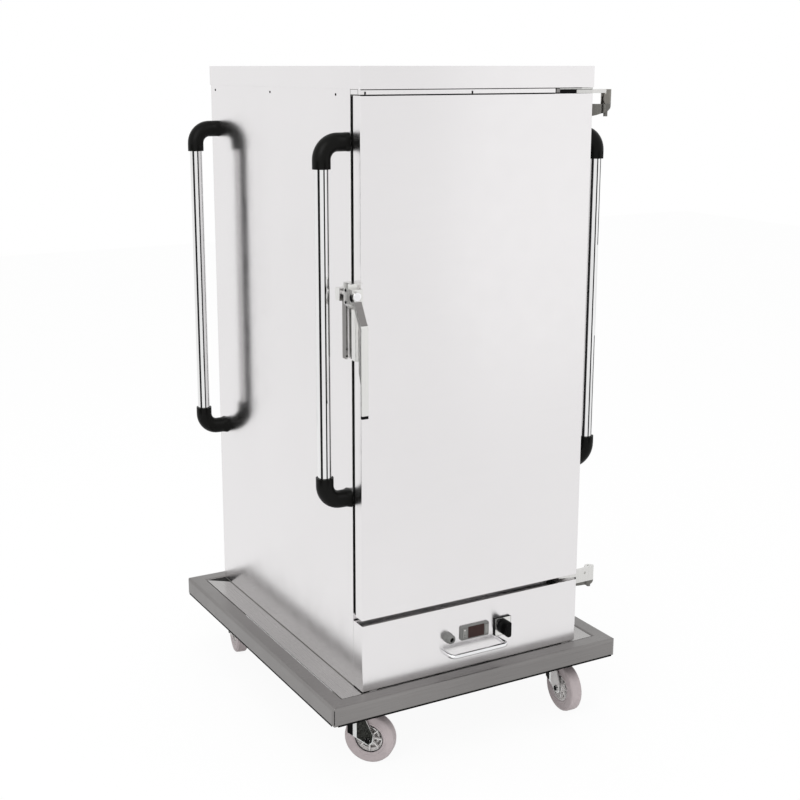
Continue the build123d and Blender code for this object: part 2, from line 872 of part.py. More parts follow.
def hinge_bracket(z0, z1):
    """A fixed bracket: leaf on the side panel, web and knuckle, swept up below towards its outer end."""
    leaf_front = gasket_rear + seat_gap
    leaf_out = side + bracket_leaf_thickness
    leaf = [
        (side, leaf_front), (leaf_out, leaf_front), (leaf_out, leaf_front + bracket_leaf_depth),
        (side, leaf_front + bracket_leaf_depth),
    ]
    web = [
        (side, leaf_front), (side, leaf_front + bracket_web),
        (pivot_x, pivot_y + knuckle_radius), (pivot_x - knuckle_radius, pivot_y),
    ]
    plan = prism_z(leaf, z0, z1) + prism_z(web, z0, z1) + rod_z(knuckle_radius, z0, z1, pivot_x, pivot_y)
    outer = pivot_x + knuckle_radius
    rise = z1 - z0
    end_z = z0 + bracket_end_share * rise
    belly = (side + bracket_belly_out, z0 + bracket_belly_share * rise)
    under = ThreePointArc((side, z0), belly, (outer, end_z))
    rim = Polyline((outer, end_z), (outer, z1), (side, z1), (side, z0))
    front = extrude(plane_y(cabinet_rear) * make_face(under + rim), amount=2 * cabinet_rear)
    return (plan & front) - rod_z(hinge_pin_radius, z0, z1, pivot_x, pivot_y)


def hinge_brackets():
    """The upper and the lower bracket, each below its arm's knuckle."""
    upper_z = door_top - upper_knuckle_drop
    lower_z = door_bottom + lower_knuckle_rise - lower_knuckle_height - seat_gap
    upper = hinge_bracket(upper_z - bracket_height, upper_z)
    lower = hinge_bracket(lower_z - bracket_lower_height, lower_z)
    return group([upper, lower])


def hinge_pins():
    """The two pins, held in the brackets."""
    upper_low = door_top - upper_knuckle_drop - bracket_height
    upper_top = door_top + hinge_arm_thickness - seat_gap
    lower_low = door_bottom + lower_knuckle_rise - lower_knuckle_height - seat_gap - bracket_lower_height
    lower_top = door_bottom + lower_knuckle_rise - seat_gap
    return group([
        rod_z(hinge_pin_radius, upper_low, upper_top, pivot_x, pivot_y),
        rod_z(hinge_pin_radius, lower_low, lower_top, pivot_x, pivot_y),
    ])


def hinge_cover():
    """The dark insert that fills the lintel's slot beside and over the upper arm."""
    arm_top = door_top + hinge_arm_thickness
    arm_end = side - hinge_arm_length
    end = side - hinge_recess_length
    rear = door_rear - door_sheet - hinge_arm_taper_rear
    front = door_front + door_sheet
    over = block(end, side, front, rear, arm_top, arm_top + hinge_cover_height)
    beside = block(end, arm_end - seat_gap, front, rear, door_top, arm_top)
    return over + beside


def latch_housing():
    """The latch body on the door's edge: bored head, cap and the long bar below."""
    x0 = -side - latch_housing_width
    y0 = door_front - latch_housing_front
    y1 = door_rear - door_sheet
    top = hub_z + latch_housing_top
    low = hub_z - latch_housing_bottom
    head_points = [
        (x0, low + latch_housing_width / 2), (x0 + latch_housing_width / 2, low), (-side, low),
        (-side, top), (x0, top),
    ]
    head = prism_y(head_points, y0, y1)
    step_low = hub_z + latch_housing_top / 2
    step = block(x0, -side, y0, door_front + latch_housing_front, step_low, top - panel_sheet)
    head = head - step
    bore = rod_y(latch_shaft_radius + running_clearance, y0, y1, hub_x, hub_z)
    bar = block(
        -side - latch_bar_width, -side, door_front + latch_bar_back, y1,
        low - latch_bar_length, low,
    )
    bar = fillet(bar.edges().filter_by(Axis.Z).group_by(Axis.X)[0], latch_bar_width / 3)
    return head + bar - bore


def latch_lever():
    """The lever: hub disc on its shaft, slanted arm and the long grip."""
    hub_y0 = door_front - latch_hub_front
    hub_y1 = door_front - latch_housing_front - seat_gap
    hub = rod_y(latch_hub_radius, hub_y0, hub_y1, hub_x, hub_z)
    shaft_rear = gasket_rear + keeper_pocket_wall
    shaft = rod_y(latch_shaft_radius, hub_y0, shaft_rear, hub_x, hub_z)
    grip_x = hub_x + lever_grip_centre
    half = lever_grip_width / 2
    grip_top = hub_z - lever_grip_top
    grip_low = hub_z - lever_grip_bottom
    grip_y0 = door_front - lever_grip_front
    grip_y1 = grip_y0 + lever_grip_depth
    inner = lever_root_share * latch_hub_radius
    arm_points = [
        (hub_x - inner, hub_z - inner / 2), (hub_x + inner, hub_z + inner / 2),
        (grip_x + half, grip_top), (grip_x - half, grip_top),
    ]
    arm_front = prism_y(arm_points, grip_y0, hub_y1)
    low = grip_top - lever_grip_depth
    side_profile = [
        (hub_y0, hub_z + latch_hub_radius), (hub_y0, hub_z - latch_hub_radius),
        (grip_y0, grip_top + lever_grip_depth), (grip_y0, low), (grip_y1, low),
        (hub_y1, hub_z - latch_hub_radius), (hub_y1, hub_z + latch_hub_radius),
    ]
    reach = 2 * lever_grip_width
    arm = arm_front & prism_x(side_profile, hub_x - reach, hub_x + reach)
    grip = block(grip_x - half, grip_x + half, grip_y0, grip_y1, grip_low, grip_top)
    grip = fillet(grip.edges().filter_by(Axis.Z), lever_grip_depth / 3)
    web_y0 = grip_y1 - lever_grip_depth / 2
    web_y1 = grip_y1 + lever_web_rise
    web_low = (grip_top + grip_low) / 2
    web_points = [
        (web_y0, grip_top - lever_grip_depth), (web_y1, grip_top - lever_web_slope),
        (web_y1, web_low), (web_y0, web_low - 2 * lever_web_slope),
    ]
    web = prism_x(web_points, grip_x - half, grip_x - half + lever_web_thickness)
    return hub + shaft + arm + grip + web


def latch_tip():
    """The black end piece of the grip."""
    grip_x = hub_x + lever_grip_centre
    half = lever_grip_width / 2
    z1 = hub_z - lever_grip_bottom
    y0 = door_front - lever_grip_front
    tip = block(grip_x - half, grip_x + half, y0, y0 + lever_grip_depth, z1 - lever_tip_height, z1)
    return fillet(tip.edges().filter_by(Axis.Z), lever_grip_depth / 3)


def latch_keeper():
    """The keeper: a plate on the side panel and an open-fronted pocket for the shaft."""
    y0 = gasket_rear
    y1 = y0 + keeper_back
    top = hub_z + keeper_top
    low = top - keeper_height
    fold = y0 + keeper_back / 2
    plate = block(-side - keeper_sheet, -side, y0, y1, low, top)
    channel = block(-side - latch_housing_width / 2, -side - keeper_sheet, y0, fold - keeper_sheet, low, top)
    channel = channel - block(
        -side - latch_housing_width / 2 + keeper_sheet, -side - keeper_sheet,
        y0, fold - 2 * keeper_sheet, low, top,
    )
    pocket_half = keeper_pocket_height / 2
    clear = latch_shaft_radius + keeper_pocket_clear
    x0 = hub_x - clear - keeper_pocket_wall
    pocket = block(x0, -side - keeper_sheet, y0, fold, hub_z - pocket_half, top)
    hollow = block(hub_x - clear, hub_x + clear, y0, fold - keeper_pocket_wall, hub_z - clear, hub_z + clear)
    return plate + channel + pocket - hollow


def handle_tube(x, y):
    """The straight chrome tube between two elbows."""
    z0 = handle_low + handle_elbow_length - handle_socket_depth
    z1 = handle_high - handle_elbow_length + handle_socket_depth
    outer = rod_z(handle_tube_radius, frame_top + z0, frame_top + z1, x, y)
    inner = rod_z(handle_tube_radius - handle_tube_wall, frame_top + z0, frame_top + z1, x, y)
    return outer - inner


def handle_elbow(sign_z):
    """An elbow at the right side: socket, bend and a square foot on the panel."""
    out = handle_out
    run = handle_elbow_length
    path = FilletPolyline((0, 0, -run), (0, 0, 0), (-out + handle_foot_depth, 0, 0), radius=handle_bend_radius)
    start = Plane(origin=(0, 0, -run), z_dir=(0, 0, 1))
    body = sweep(start * Circle(handle_elbow_radius), path=path)
    round_face = Plane(origin=(-out + handle_foot_depth, 0, 0), z_dir=(-1, 0, 0)) * Circle(handle_elbow_radius)
    square_face = Plane(origin=(-out, 0, 0), z_dir=(-1, 0, 0)) * RectangleRounded(
        handle_foot_side, handle_foot_side, handle_foot_corner_radius
    )
    foot = loft([round_face, square_face])
    socket = rod_z(handle_tube_radius + groove_clearance, -run, -run + handle_socket_depth)
    elbow = body + foot - socket
    if sign_z < 0:
        elbow = mirror(elbow, about=Plane.XY)
    return elbow


def handle_elbows(sign_x, y):
    """The upper and lower elbow of one handle."""
    x = side + handle_out
    upper = Pos(x, y, frame_top + handle_high) * handle_elbow(1)
    lower = Pos(x, y, frame_top + handle_low) * handle_elbow(-1)
    pair = [upper, lower]
    if sign_x < 0:
        pair = [mirror(elbow, about=Plane.YZ) for elbow in pair]
    return pair


def module_fascia():
    """The fascia pan with cut-outs for its controls."""
    y1 = door_front + fascia_return
    outer = block(-side, side, door_front, y1, fascia_bottom, fascia_top)
    outer = fillet(outer.edges().filter_by(Axis.Z).group_by(Axis.Y)[0], fascia_edge_radius)
    inner = block(
        -side + panel_sheet, side - panel_sheet, door_front + panel_sheet, y1,
        fascia_bottom + panel_sheet, fascia_top - panel_sheet,
    )
    pan = outer - inner
    back = door_front + panel_sheet
    z_controller = frame_top + controller_height
    controller_hole = block(
        controller_x - controller_body_width / 2 - slide_clearance,
        controller_x + controller_body_width / 2 + slide_clearance,
        door_front, back,
        z_controller - controller_body_height / 2 - slide_clearance,
        z_controller + controller_body_height / 2 + slide_clearance,
    )
    gland_hole_radius = gland_thread_radius + slide_clearance
    gland_hole = rod_y(gland_hole_radius, door_front, back, gland_x, frame_top + gland_height)
    shaft_hole_radius = knob_shaft_radius + 2 * slide_clearance
    shaft_hole = rod_y(shaft_hole_radius, door_front, back, switch_x, frame_top + switch_height)
    return pan - controller_hole - gland_hole - shaft_hole


def module_tray():
    """The sliding chassis behind the fascia: base, side walls and rear wall."""
    x = inner_side - tray_side_gap
    y0 = door_front + fascia_return
    y1 = y0 + tray_length
    z0 = fascia_bottom
    z1 = z0 + tray_wall_height
    points = [
        (-x, z1), (-x, z0), (x, z0), (x, z1), (x - panel_sheet, z1), (x - panel_sheet, z0 + panel_sheet),
        (-x + panel_sheet, z0 + panel_sheet), (-x + panel_sheet, z1),
    ]
    channel = prism_y(points, y0, y1)
    rear = block(-x, x, y1 - panel_sheet, y1, z0, z1)
    return channel + rear


def fan_centre():
    """The fan's axis in plan and the top of the tray's base."""
    y = door_front + fan_back
    z = fascia_bottom + panel_sheet
    return y, z


def fan_motor():
    """The fan motor: foot plate, can and shaft."""
    y, z = fan_centre()
    half = motor_foot
    foot = block(-half, half, y - half, y + half, z, z + 2 * panel_sheet)
    can = rod_z(motor_radius, z, z + motor_height, 0, y)
    can = fillet(can.edges().group_by(Axis.Z)[-1], 2 * panel_sheet)
    shaft = rod_z(fan_shaft_radius, z, z + motor_height + impeller_height, 0, y)
    return foot + can + shaft


def fan_impeller():
    """The impeller: back disc, hub and a ring of curved blades."""
    y, z = fan_centre()
    low = z + motor_height + impeller_gap
    disc = rod_z(impeller_radius, low, low + impeller_disc)
    hub = rod_z(impeller_hub_radius, low, low + impeller_height / 2)
    bore = rod_z(fan_shaft_radius + running_clearance, low, low + impeller_height)
    start = (blade_inner_radius, 0)
    turn = math.radians(blade_sweep_degrees)
    end_radius = impeller_radius - blade_thickness
    end = (end_radius * math.cos(turn), end_radius * math.sin(turn))
    curve = RadiusArc(start, end, blade_bow_radius)
    blade_face = trace(curve, line_width=blade_thickness)
    blade = extrude(Pos(0, 0, low) * blade_face, amount=impeller_height)
    wheel = disc + hub
    for step in range(blade_count):
        wheel = wheel + Rot(0, 0, step * 360 / blade_count) * blade
    rim_low = low + impeller_height - impeller_disc
    rim = rod_z(impeller_radius, rim_low, low + impeller_height)
    rim = rim - rod_z(blade_inner_radius, rim_low, low + impeller_height)
    return Pos(0, y, 0) * (wheel + rim - bore)


def heater_element():
    """The heater round the impeller: an open ring of eight-sided rod with two leads to its bracket."""
    y, z = fan_centre()
    ring_z = z + motor_height + impeller_height / 2
    half = heater_opening_half
    back = -math.sqrt(heater_ring_radius ** 2 - half ** 2)
    front = back - heater_lead_length
    section = Rot(0, 0, 180 / heater_rod_sides) * RegularPolygon(heater_rod_radius, heater_rod_sides)
    round_ring = revolve(Plane.XZ * Pos(heater_ring_radius, 0) * section, Axis.Z)
    reach = heater_ring_radius + 2 * heater_rod_radius
    gap = block(-half, half, -reach, 0, -reach, reach)
    element = round_ring - gap
    for x in (-half, half):
        lead = extrude(Plane(origin=(x, front, 0), z_dir=(0, 1, 0)) * section, amount=back - front)
        knee = rod_z(heater_rod_radius, -heater_rod_radius, heater_rod_radius, x, back)
        element = element + lead + knee
    bracket = block(
        -half - heater_bracket_width, half + heater_bracket_width,
        front - panel_sheet, front, z - ring_z, 2 * heater_rod_radius,
    )
    return Pos(0, y, ring_z) * (element + bracket)


def module_handle():
    """The U-shaped pull rod on the fascia."""
    x0 = u_handle_x - u_handle_span / 2
    x1 = u_handle_x + u_handle_span / 2
    y1 = door_front - u_handle_reach + u_handle_rod_radius
    z = frame_top + u_handle_height
    corners = [(x0, door_front, z), (x0, y1, z), (x1, y1, z), (x1, door_front, z)]
    path = FilletPolyline(*corners, radius=u_handle_bend)
    return sweep(plane_y(door_front) * Pos(x0, z) * Circle(u_handle_rod_radius), path=path)


def cable_gland():
    """The cable gland: hexagonal body, domed nut with its bore, and the thread behind."""
    z = frame_top + gland_height
    hexagon = extrude(
        plane_y(door_front) * Pos(gland_x, z) * RegularPolygon(gland_radius, 6), amount=gland_hex_length
    )
    tail = door_front + gland_tail
    nose = door_front - gland_length
    neck = door_front - gland_hex_length
    points = [
        (gland_bore_radius, tail), (gland_thread_radius, tail), (gland_thread_radius, neck),
        (gland_dome_radius, neck), (gland_dome_radius, nose + gland_nose_drop),
        (gland_nose_radius, nose), (gland_bore_radius, nose),
    ]
    turned = revolve(make_face(Polyline(*points, close=True)), Axis.Y)
    bore = rod_y(gland_bore_radius, nose, tail, gland_x, z)
    return hexagon + Pos(gland_x, 0, z) * turned - bore


def controller_keys_x():
    """The middle of the left and of the right key."""
    left = controller_x + (window_offset - window_width / 2 - controller_width / 2) / 2
    right = controller_x + (window_offset + window_width / 2 + controller_width / 2) / 2
    return left, right


def controller_bezel():
    """The controller: front frame with pockets for window and keys, and its body behind."""
    z = frame_top + controller_height
    front = door_front - controller_depth
    face = rounded_plate_y(
        controller_width, controller_bezel_height, controller_corner_radius, front, door_front, controller_x, z
    )
    face = chamfer(face.edges().group_by(Axis.Y)[0], controller_edge_chamfer)
    body = block(
        controller_x - controller_body_width / 2, controller_x + controller_body_width / 2,
        door_front, door_front + controller_body_length,
        z - controller_body_height / 2, z + controller_body_height / 2,
    )
    window_x = controller_x + window_offset
    pocket = block(
        window_x - window_width / 2, window_x + window_width / 2, front, front + window_depth,
        z - window_height / 2, z + window_height / 2,
    )
    shape = face + body - pocket
    for x in controller_keys_x():
        half = key_width / 2 + slide_clearance
        tall = key_height / 2 + slide_clearance
        shape = shape - block(x - half, x + half, front, front + key_pocket, z - tall, z + tall)
    return shape


def controller_window():
    """The dark display window in the controller."""
    z = frame_top + controller_height
    front = door_front - controller_depth
    x = controller_x + window_offset
    return block(
        x - window_width / 2, x + window_width / 2, front, front + window_depth,
        z - window_height / 2, z + window_height / 2,
    )


def controller_key(x):
    """One key of the controller, free to be pushed in."""
    z = frame_top + controller_height
    front = door_front - controller_depth - key_proud
    rear = door_front - controller_depth + key_pocket - key_travel - seat_gap
    return rounded_plate_y(key_width, key_height, key_corner_radius, front, rear, x, z)


def switch_base():
    """The black base of the rotary switch."""
    z = frame_top + switch_height
    y0 = door_front - switch_base_depth
    base = rounded_plate_y(switch_side, switch_side, switch_corner_radius, y0, door_front, switch_x, z)
    return base - rod_y(knob_shaft_radius + running_clearance, y0, door_front, switch_x, z)


def switch_knob():
    """The rotary knob: a round boss, an upright bar across it and the shaft."""
    z = frame_top + switch_height
    y1 = door_front - switch_base_depth - seat_gap
    y0 = y1 - knob_disc_depth
    disc = rod_y(knob_radius, y0, y1, switch_x, z)
    disc = chamfer(disc.edges().group_by(Axis.Y)[0], knob_edge_chamfer)
    bar = rounded_plate_y(
        knob_bar_width, knob_bar_length, knob_bar_corner_radius, y0 - knob_bar_depth, y1, switch_x, z
    )
    bar = chamfer(bar.edges().group_by(Axis.Y)[0], knob_edge_chamfer)
    shaft = rod_y(knob_shaft_radius, y0, door_front + knob_shaft_tail, switch_x, z)
    return disc + bar + shaft


def build_parts():
    """Every sub-part by its node name."""
    parts = {
        "base_frame": base_frame(),
        "deck_plate": deck_plate(),
        "gutter_wedges": gutter_wedges(),
        "caster_plates": caster_plates(),
        "panel_right": side_panel(),
        "panel_left": mirror(side_panel(), about=Plane.YZ),
        "panel_rear": rear_panel(),
        "top_cap": top_cap(),
        "lintel_strip": lintel_strip(),
        "front_frame": front_frame(),
        "insulation_slabs": insulation_slabs(),
        "cabinet_liner": cabinet_liner(),
        "cavity_floor": cavity_floor(),
        "rack_right": rack(),
        "rack_left": mirror(rack(), about=Plane.YZ),
        "door_skin": door_skin(),
        "door_insulation": door_insulation(),
        "door_inner_pan": door_inner_pan(),
        "door_gasket": door_gasket(),
        "hinge_arm_upper": hinge_arm_upper(),
        "hinge_arm_lower": hinge_arm_lower(),
        "hinge_brackets": hinge_brackets(),
        "hinge_pins": hinge_pins(),
        "hinge_cover": hinge_cover(),
        "latch_housing": latch_housing(),
        "latch_lever": latch_lever(),
        "latch_tip": latch_tip(),
        "latch_keeper": latch_keeper(),
        "module_fascia": module_fascia(),
        "module_tray": module_tray(),
        "module_handle": module_handle(),
        "heater_element": heater_element(),
        "fan_motor": fan_motor(),
        "fan_impeller": fan_impeller(),
        "cable_gland": cable_gland(),
        "controller_bezel": controller_bezel(),
        "controller_window": controller_window(),
        "switch_base": switch_base(),
        "switch_knob": switch_knob(),
    }
    for name, x in zip(("key_left", "key_right"), controller_keys_x()):
        parts[name] = controller_key(x)
    tubes = []
    elbows = []
    for sign in (-1, 1):
        for y in (door_front + handle_front_inset, cabinet_rear - handle_rear_inset):
            tubes.append(handle_tube(sign * (side + handle_out), y))
            elbows.extend(handle_elbows(sign, y))
    parts["handle_tubes"] = group(tubes)
    parts["handle_elbows"] = group(elbows)
    for name, x, y, angle in caster_places():
        axle = Pos(caster_trail, 0, wheel_radius)
        parts["fork_" + name] = place_caster(caster_fork(), x, y, angle)
        parts["pedal_" + name] = place_caster(caster_pedal(), x, y, angle)
        parts["tyre_" + name] = place_caster(axle * wheel_tyre(), x, y, angle)
        parts["hub_" + name] = place_caster(axle * wheel_hub(), x, y, angle)
    return parts


os.makedirs("parts", exist_ok=True)
for node, shape in build_parts().items():
    export_step(shape, "parts/" + node + ".step")
    print(node, "written")
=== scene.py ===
import json
import math
import bmesh
import bpy
from mathutils import Matrix, Vector


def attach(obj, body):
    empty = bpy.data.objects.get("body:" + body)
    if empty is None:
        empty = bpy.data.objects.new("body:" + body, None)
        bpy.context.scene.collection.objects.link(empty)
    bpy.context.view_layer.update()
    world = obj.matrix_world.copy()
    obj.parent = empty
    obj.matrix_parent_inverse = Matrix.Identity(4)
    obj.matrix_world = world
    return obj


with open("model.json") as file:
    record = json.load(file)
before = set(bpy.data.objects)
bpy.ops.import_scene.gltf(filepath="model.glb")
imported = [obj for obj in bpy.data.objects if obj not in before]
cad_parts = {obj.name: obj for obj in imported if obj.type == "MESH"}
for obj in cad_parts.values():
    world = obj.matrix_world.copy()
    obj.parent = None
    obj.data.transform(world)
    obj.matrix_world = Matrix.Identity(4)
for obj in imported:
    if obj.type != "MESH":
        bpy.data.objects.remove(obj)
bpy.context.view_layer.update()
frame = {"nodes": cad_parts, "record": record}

# Planes of the cart, in metres
SIDE = 0.310
DOOR_FRONT = -0.4247
DOOR_REAR = -0.3922
GASKET_REAR = -0.379
FRAME_OUT_X = 0.4095
FRAME_OUT_Y = 0.4695
FRAME_CORNER = 0.012
FRAME_TOP = 0.198
DECK_TOP = FRAME_TOP - 0.002
DOOR_TOP = FRAME_TOP + 1.3827
LINTEL_LOW = DOOR_TOP + 0.0022
LINTEL_RIGHT = 0.202
CAP_LOW = LINTEL_LOW + 0.0112

# How far edges are eased: the usual bar, the thinnest, the plugs, the guide and the ring plates' corners
EASE = 0.0002
FINE_EASE = 0.0001
PLUG_EASE = 0.0003
GUIDE_EASE = 0.0006
RING_CORNER = 0.0008

# Low domed heads: radius and height
RIVET = (0.0031, 0.0012)
FRAME_SCREW = (0.0034, 0.0008)
KEEPER_SCREW = (0.0024, 0.0018)
HOUSING_SCREW = (0.0038, 0.0014)
HUB_DISC = (0.0100, 0.0006)
# A thin black disc of painted shadow round the latch's hub
HUB_SHADOW = (0.0128, 0.00025)
KEY_LAMP = (0.0019, 0.0005)
KEY_MARK = (0.0012, 0.0003)
# A flat black disc of painted shade inside the gland's bore
GLAND_BORE_SHADE = (0.0059, 0.0004)
HEAD_PROFILE = ((0.0, 1.0), (0.45, 0.94), (0.85, 0.6), (1.0, 0.2))
HEAD_STEPS = 20

# Cabinet trim: places along the sides, and the plugs in the lintel
RIVETS_Y = (-0.3097, 0.0423, 0.3943)
RIVETS_Z = DOOR_TOP + 0.0008
FRAME_SCREWS_X = FRAME_OUT_X - 0.0009
FRAME_SCREWS_Y = (-0.2727, 0.2643)
FRAME_SCREWS_Z = FRAME_TOP - 0.022
PLUGS_X = (-0.298, -0.026)
PLUG_HALF = 0.0016
PLUG_Y = (DOOR_FRONT - 0.0014, DOOR_FRONT + 0.0004)
PLUG_Z = (LINTEL_LOW + 0.0002, LINTEL_LOW + 0.0062)
# Black strip over the door's top: painted shade in the gap below the lintel
GAP_SHADE_X = (-SIDE + 0.002, LINTEL_RIGHT - 0.002)
GAP_SHADE_STEP = DOOR_FRONT + 0.0010
GAP_SHADE_TOP = DOOR_TOP + 0.0018
# Black line below the cap's lower edge: a painted shadow of the cap's lip
CAP_LINE_X = (-SIDE + 0.001, 0.278)
CAP_LINE_Y = (DOOR_FRONT - 0.0005, DOOR_FRONT + 0.0004)
CAP_LINE_LOW = CAP_LOW - 0.0019
TAB_LINE_HALF = 0.0002
TAB_FRONT = -0.4150
TAB_REAR = -0.3790
TAB_LINE_UPRIGHT = 0.0012
TAB_LINE_LEVEL = 0.0010
SLOT_LIP_X = (0.2140, 0.3090)
SLOT_END_X = (0.2052, 0.2150)
SLOT_NEAR = DOOR_FRONT + 0.0003
SLOT_FAR = DOOR_FRONT + 0.0011
SLOT_TOP = CAP_LOW - 0.0003
SLOT_LIP_LOW = DOOR_TOP + 0.0096

# Base trim: the deck's joint lines, the black strip of painted shade beneath the frame and the upper
# hinge's sleeve
DECK_LINE_Y = (-0.3790, 0.4240)
DECK_LINE_OUT = 0.0008
DECK_LINE_HEIGHT = 0.0014
STRIP_LOW = FRAME_TOP - 0.0475
STRIP_TOP = FRAME_TOP - 0.0446
STRIP_NEAR = 0.0004
STRIP_FAR = 0.0020
SLEEVE_FOOT = (0.3618, DOOR_FRONT + 0.01625, DOOR_TOP - 0.0255)
SLEEVE_RINGS = ((0.0, 0.0118), (0.0, 0.01225), (0.0338, 0.01225), (0.0342, 0.0118))
SLEEVE_STEPS = 40

# Latch: the shaft's axis, the keeper on the cabinet's side and a strip of painted shade on the lever's
# slanted face
SHAFT_X = -0.330
SHAFT_Z = FRAME_TOP + 0.953
SHAFT_HOLE = 0.0052
KEEPER_LOW = 0.9985
KEEPER_TOP = 1.1325
KEEPER_SCREWS_X = -0.3222
KEEPER_SCREWS_Z = (1.0215, 1.0055)
FLANGE_X = (-0.3239, -0.3234)
FLANGE_Y = (GASKET_REAR + 0.0004, -0.3610)
GUIDE_X = (-0.3192, -0.3148)
GUIDE_Y = (GASKET_REAR + 0.0002, GASKET_REAR + 0.0030)
GUIDE_LOW = KEEPER_LOW + 0.0010
SHIELD_HALF = 0.0092
SHIELD_Y = (GASKET_REAR - 0.0007, GASKET_REAR - 0.0001)
BUSH_HALF = 0.0068
BUSH_Y = (GASKET_REAR, GASKET_REAR + 0.0024)
HOUSING_SCREWS_X = -0.3370
HOUSING_SCREWS_Y = -0.4030
HOUSING_SCREWS_Z = (SHAFT_Z + 0.0090, SHAFT_Z - 0.0180)
HUB_DISC_PLACE = (SHAFT_X, DOOR_FRONT - 0.0220, SHAFT_Z)
HUB_SHADOW_PLACE = (SHAFT_X - 0.0008, DOOR_FRONT - 0.0100, SHAFT_Z - 0.0026)
LEVER_ARM_ROWS = (
    (-0.3376, -0.3205, -0.4467, 1.1400),
    (-0.3318, -0.3150, -0.4604, 1.0955),
    (-0.3306, -0.3134, -0.4627, 1.0882),
)
LEVER_ARM_THICK = 0.0004

# Controls on the fascia
SWITCH_X = 0.083
SWITCH_Z = FRAME_TOP + 0.0885
SWITCH_HALF = 0.0225
SWITCH_HOLE = 0.0175
SWITCH_Y = (-0.4307, -0.4302)
SWITCH_CORNER = 0.002
KEY_X = -0.0297
KEY_FACE = DOOR_FRONT - 0.0067
KEY_LAMP_Z = FRAME_TOP + 0.1005
KEY_MARKS_Z = (FRAME_TOP + 0.0825, FRAME_TOP + 0.0880)
GLAND_PLACE = (-0.0745, DOOR_FRONT - 0.0160, FRAME_TOP + 0.090)

# Casters: place of the kingpin and swivel at rest in degrees, then the fork's own sizes
CASTERS = {
    "front_left": (-0.299, -0.367, -46.0),
    "front_right": (0.299, -0.367, -93.1),
    "rear_left": (-0.299, 0.380, -101.0),
    "rear_right": (0.299, 0.380, -87.0),
}
# The caster whose fork plates and rim ring are painted dark as shade; the others are painted pale as lit
SHADED_CASTER = "front_left"
TRAIL = 0.038
AXLE_HEIGHT = 0.0625
FORK_FACE = 0.0227
FORK_LEAD = -0.013
FORK_SHOULDER = 0.126

# Plates on the fork's legs: thickness, eased rim and outline of (along the trail, height)
FORK_PLATE = (0.0008, 0.0003, (
    (0.0105, FORK_SHOULDER), (0.0255, FORK_SHOULDER), (0.0370, 0.0850), (0.0450, 0.0700),
    (0.0455, 0.0600), (0.0380, 0.0515), (0.0290, 0.0570), (0.0105, 0.0660),
))
FORK_FLANK = (0.0005, 0.0001, (
    (0.0255, FORK_SHOULDER), (0.0262, FORK_SHOULDER), (0.0505, 0.0765), (0.0480, 0.0590),
    (0.0400, 0.0508), (0.0380, 0.0515), (0.0455, 0.0600), (0.0450, 0.0700), (0.0370, 0.0850),
))
FORK_CHEEK = (0.0012, 0.0004, (
    (FORK_LEAD, FORK_SHOULDER), (0.0, FORK_SHOULDER), (0.0, 0.0700), (FORK_LEAD, 0.0765),
))
NUT_RINGS = ((0.0, 0.0076), (0.0052, 0.0076), (0.0058, 0.0060), (0.0059, 0.0020))
NUT_SIDES = 6

# Rings on each side of a wheel: (distance from its middle, radius)
JOINT_RING = ((0.0120, 0.0335), (0.0139, 0.0337), (0.0142, 0.0352), (0.0120, 0.0354))
WALL_RING = (
    (0.0132, 0.0350), (0.0145, 0.0352), (0.0161, 0.0385),
    (0.0165, 0.0414), (0.0160, 0.0424), (0.0132, 0.0400),
)
# A flat disc of painted shade behind the hub's ribs, on each side
POCKET_SHADE_RING = ((0.0031, 0.0133), (0.0036, 0.0133), (0.0036, 0.0285), (0.0031, 0.0285))

# Grain of brushed steel: noise per metre along X, Y and Z, low along the grain
GRAINS = {
    "x": (9.0, 1400.0, 1400.0),
    "y": (1400.0, 9.0, 1400.0),
    "z": (1400.0, 1400.0, 9.0),
}

# Brushed steels, by the arguments of brushed()
STEELS = {
    # The frame's edges that face down are darkened as painted shade, and its lighter edges are partly a
    # painted highlight
    "frame_steel": dict(
        colour=(0.235, 0.226, 0.222), rough=0.34, grain="x", depth=0.12, shade=0.09, edge_lightening=0.6, soft=0.08,
        round_edge=0.0022, under=0.15,
    ),
    "deck_steel": dict(
        colour=(0.42, 0.41, 0.405), rough=0.27, grain="y", depth=0.08, shade=0.07, edge_lightening=0.3, soft=0.07,
    ),
    "panel_steel": dict(
        colour=(0.78, 0.765, 0.77), rough=0.20, grain="x", depth=0.03, shade=0.012, edge_lightening=0.4, soft=0.03,
        smear_up=0.75,
    ),
    "liner_steel": dict(
        colour=(0.66, 0.655, 0.655), rough=0.28, grain="z", depth=0.05, shade=0.03, edge_lightening=0.3, soft=0.05,
    ),
    "hinge_steel": dict(
        colour=(0.66, 0.655, 0.64), rough=0.26, grain="z", depth=0.10, shade=0.08, edge_lightening=0.5, soft=0.06,
    ),
    "hinge_sleeve": dict(
        colour=(0.22, 0.21, 0.19), rough=0.16, grain="z", depth=0.10, shade=0.15, edge_lightening=0.4, soft=0.05,
    ),
    "bracket_steel": dict(
        colour=(0.16, 0.156, 0.144), rough=0.38, grain="z", depth=0.15, shade=0.12, edge_lightening=0.5, soft=0.08,
    ),
    "latch_steel": dict(
        colour=(0.72, 0.715, 0.70), rough=0.22, grain="z", depth=0.05, shade=0.05, edge_lightening=0.5, soft=0.05,
    ),
    "heater_steel": dict(
        colour=(0.20, 0.18, 0.17), rough=0.42, grain="z", depth=0.15, shade=0.12, edge_lightening=0.2, soft=0.08,
    ),
    "fan_aluminium": dict(
        colour=(0.68, 0.68, 0.69), rough=0.30, grain="z", depth=0.08, shade=0.05, edge_lightening=0.3, soft=0.06,
    ),
}

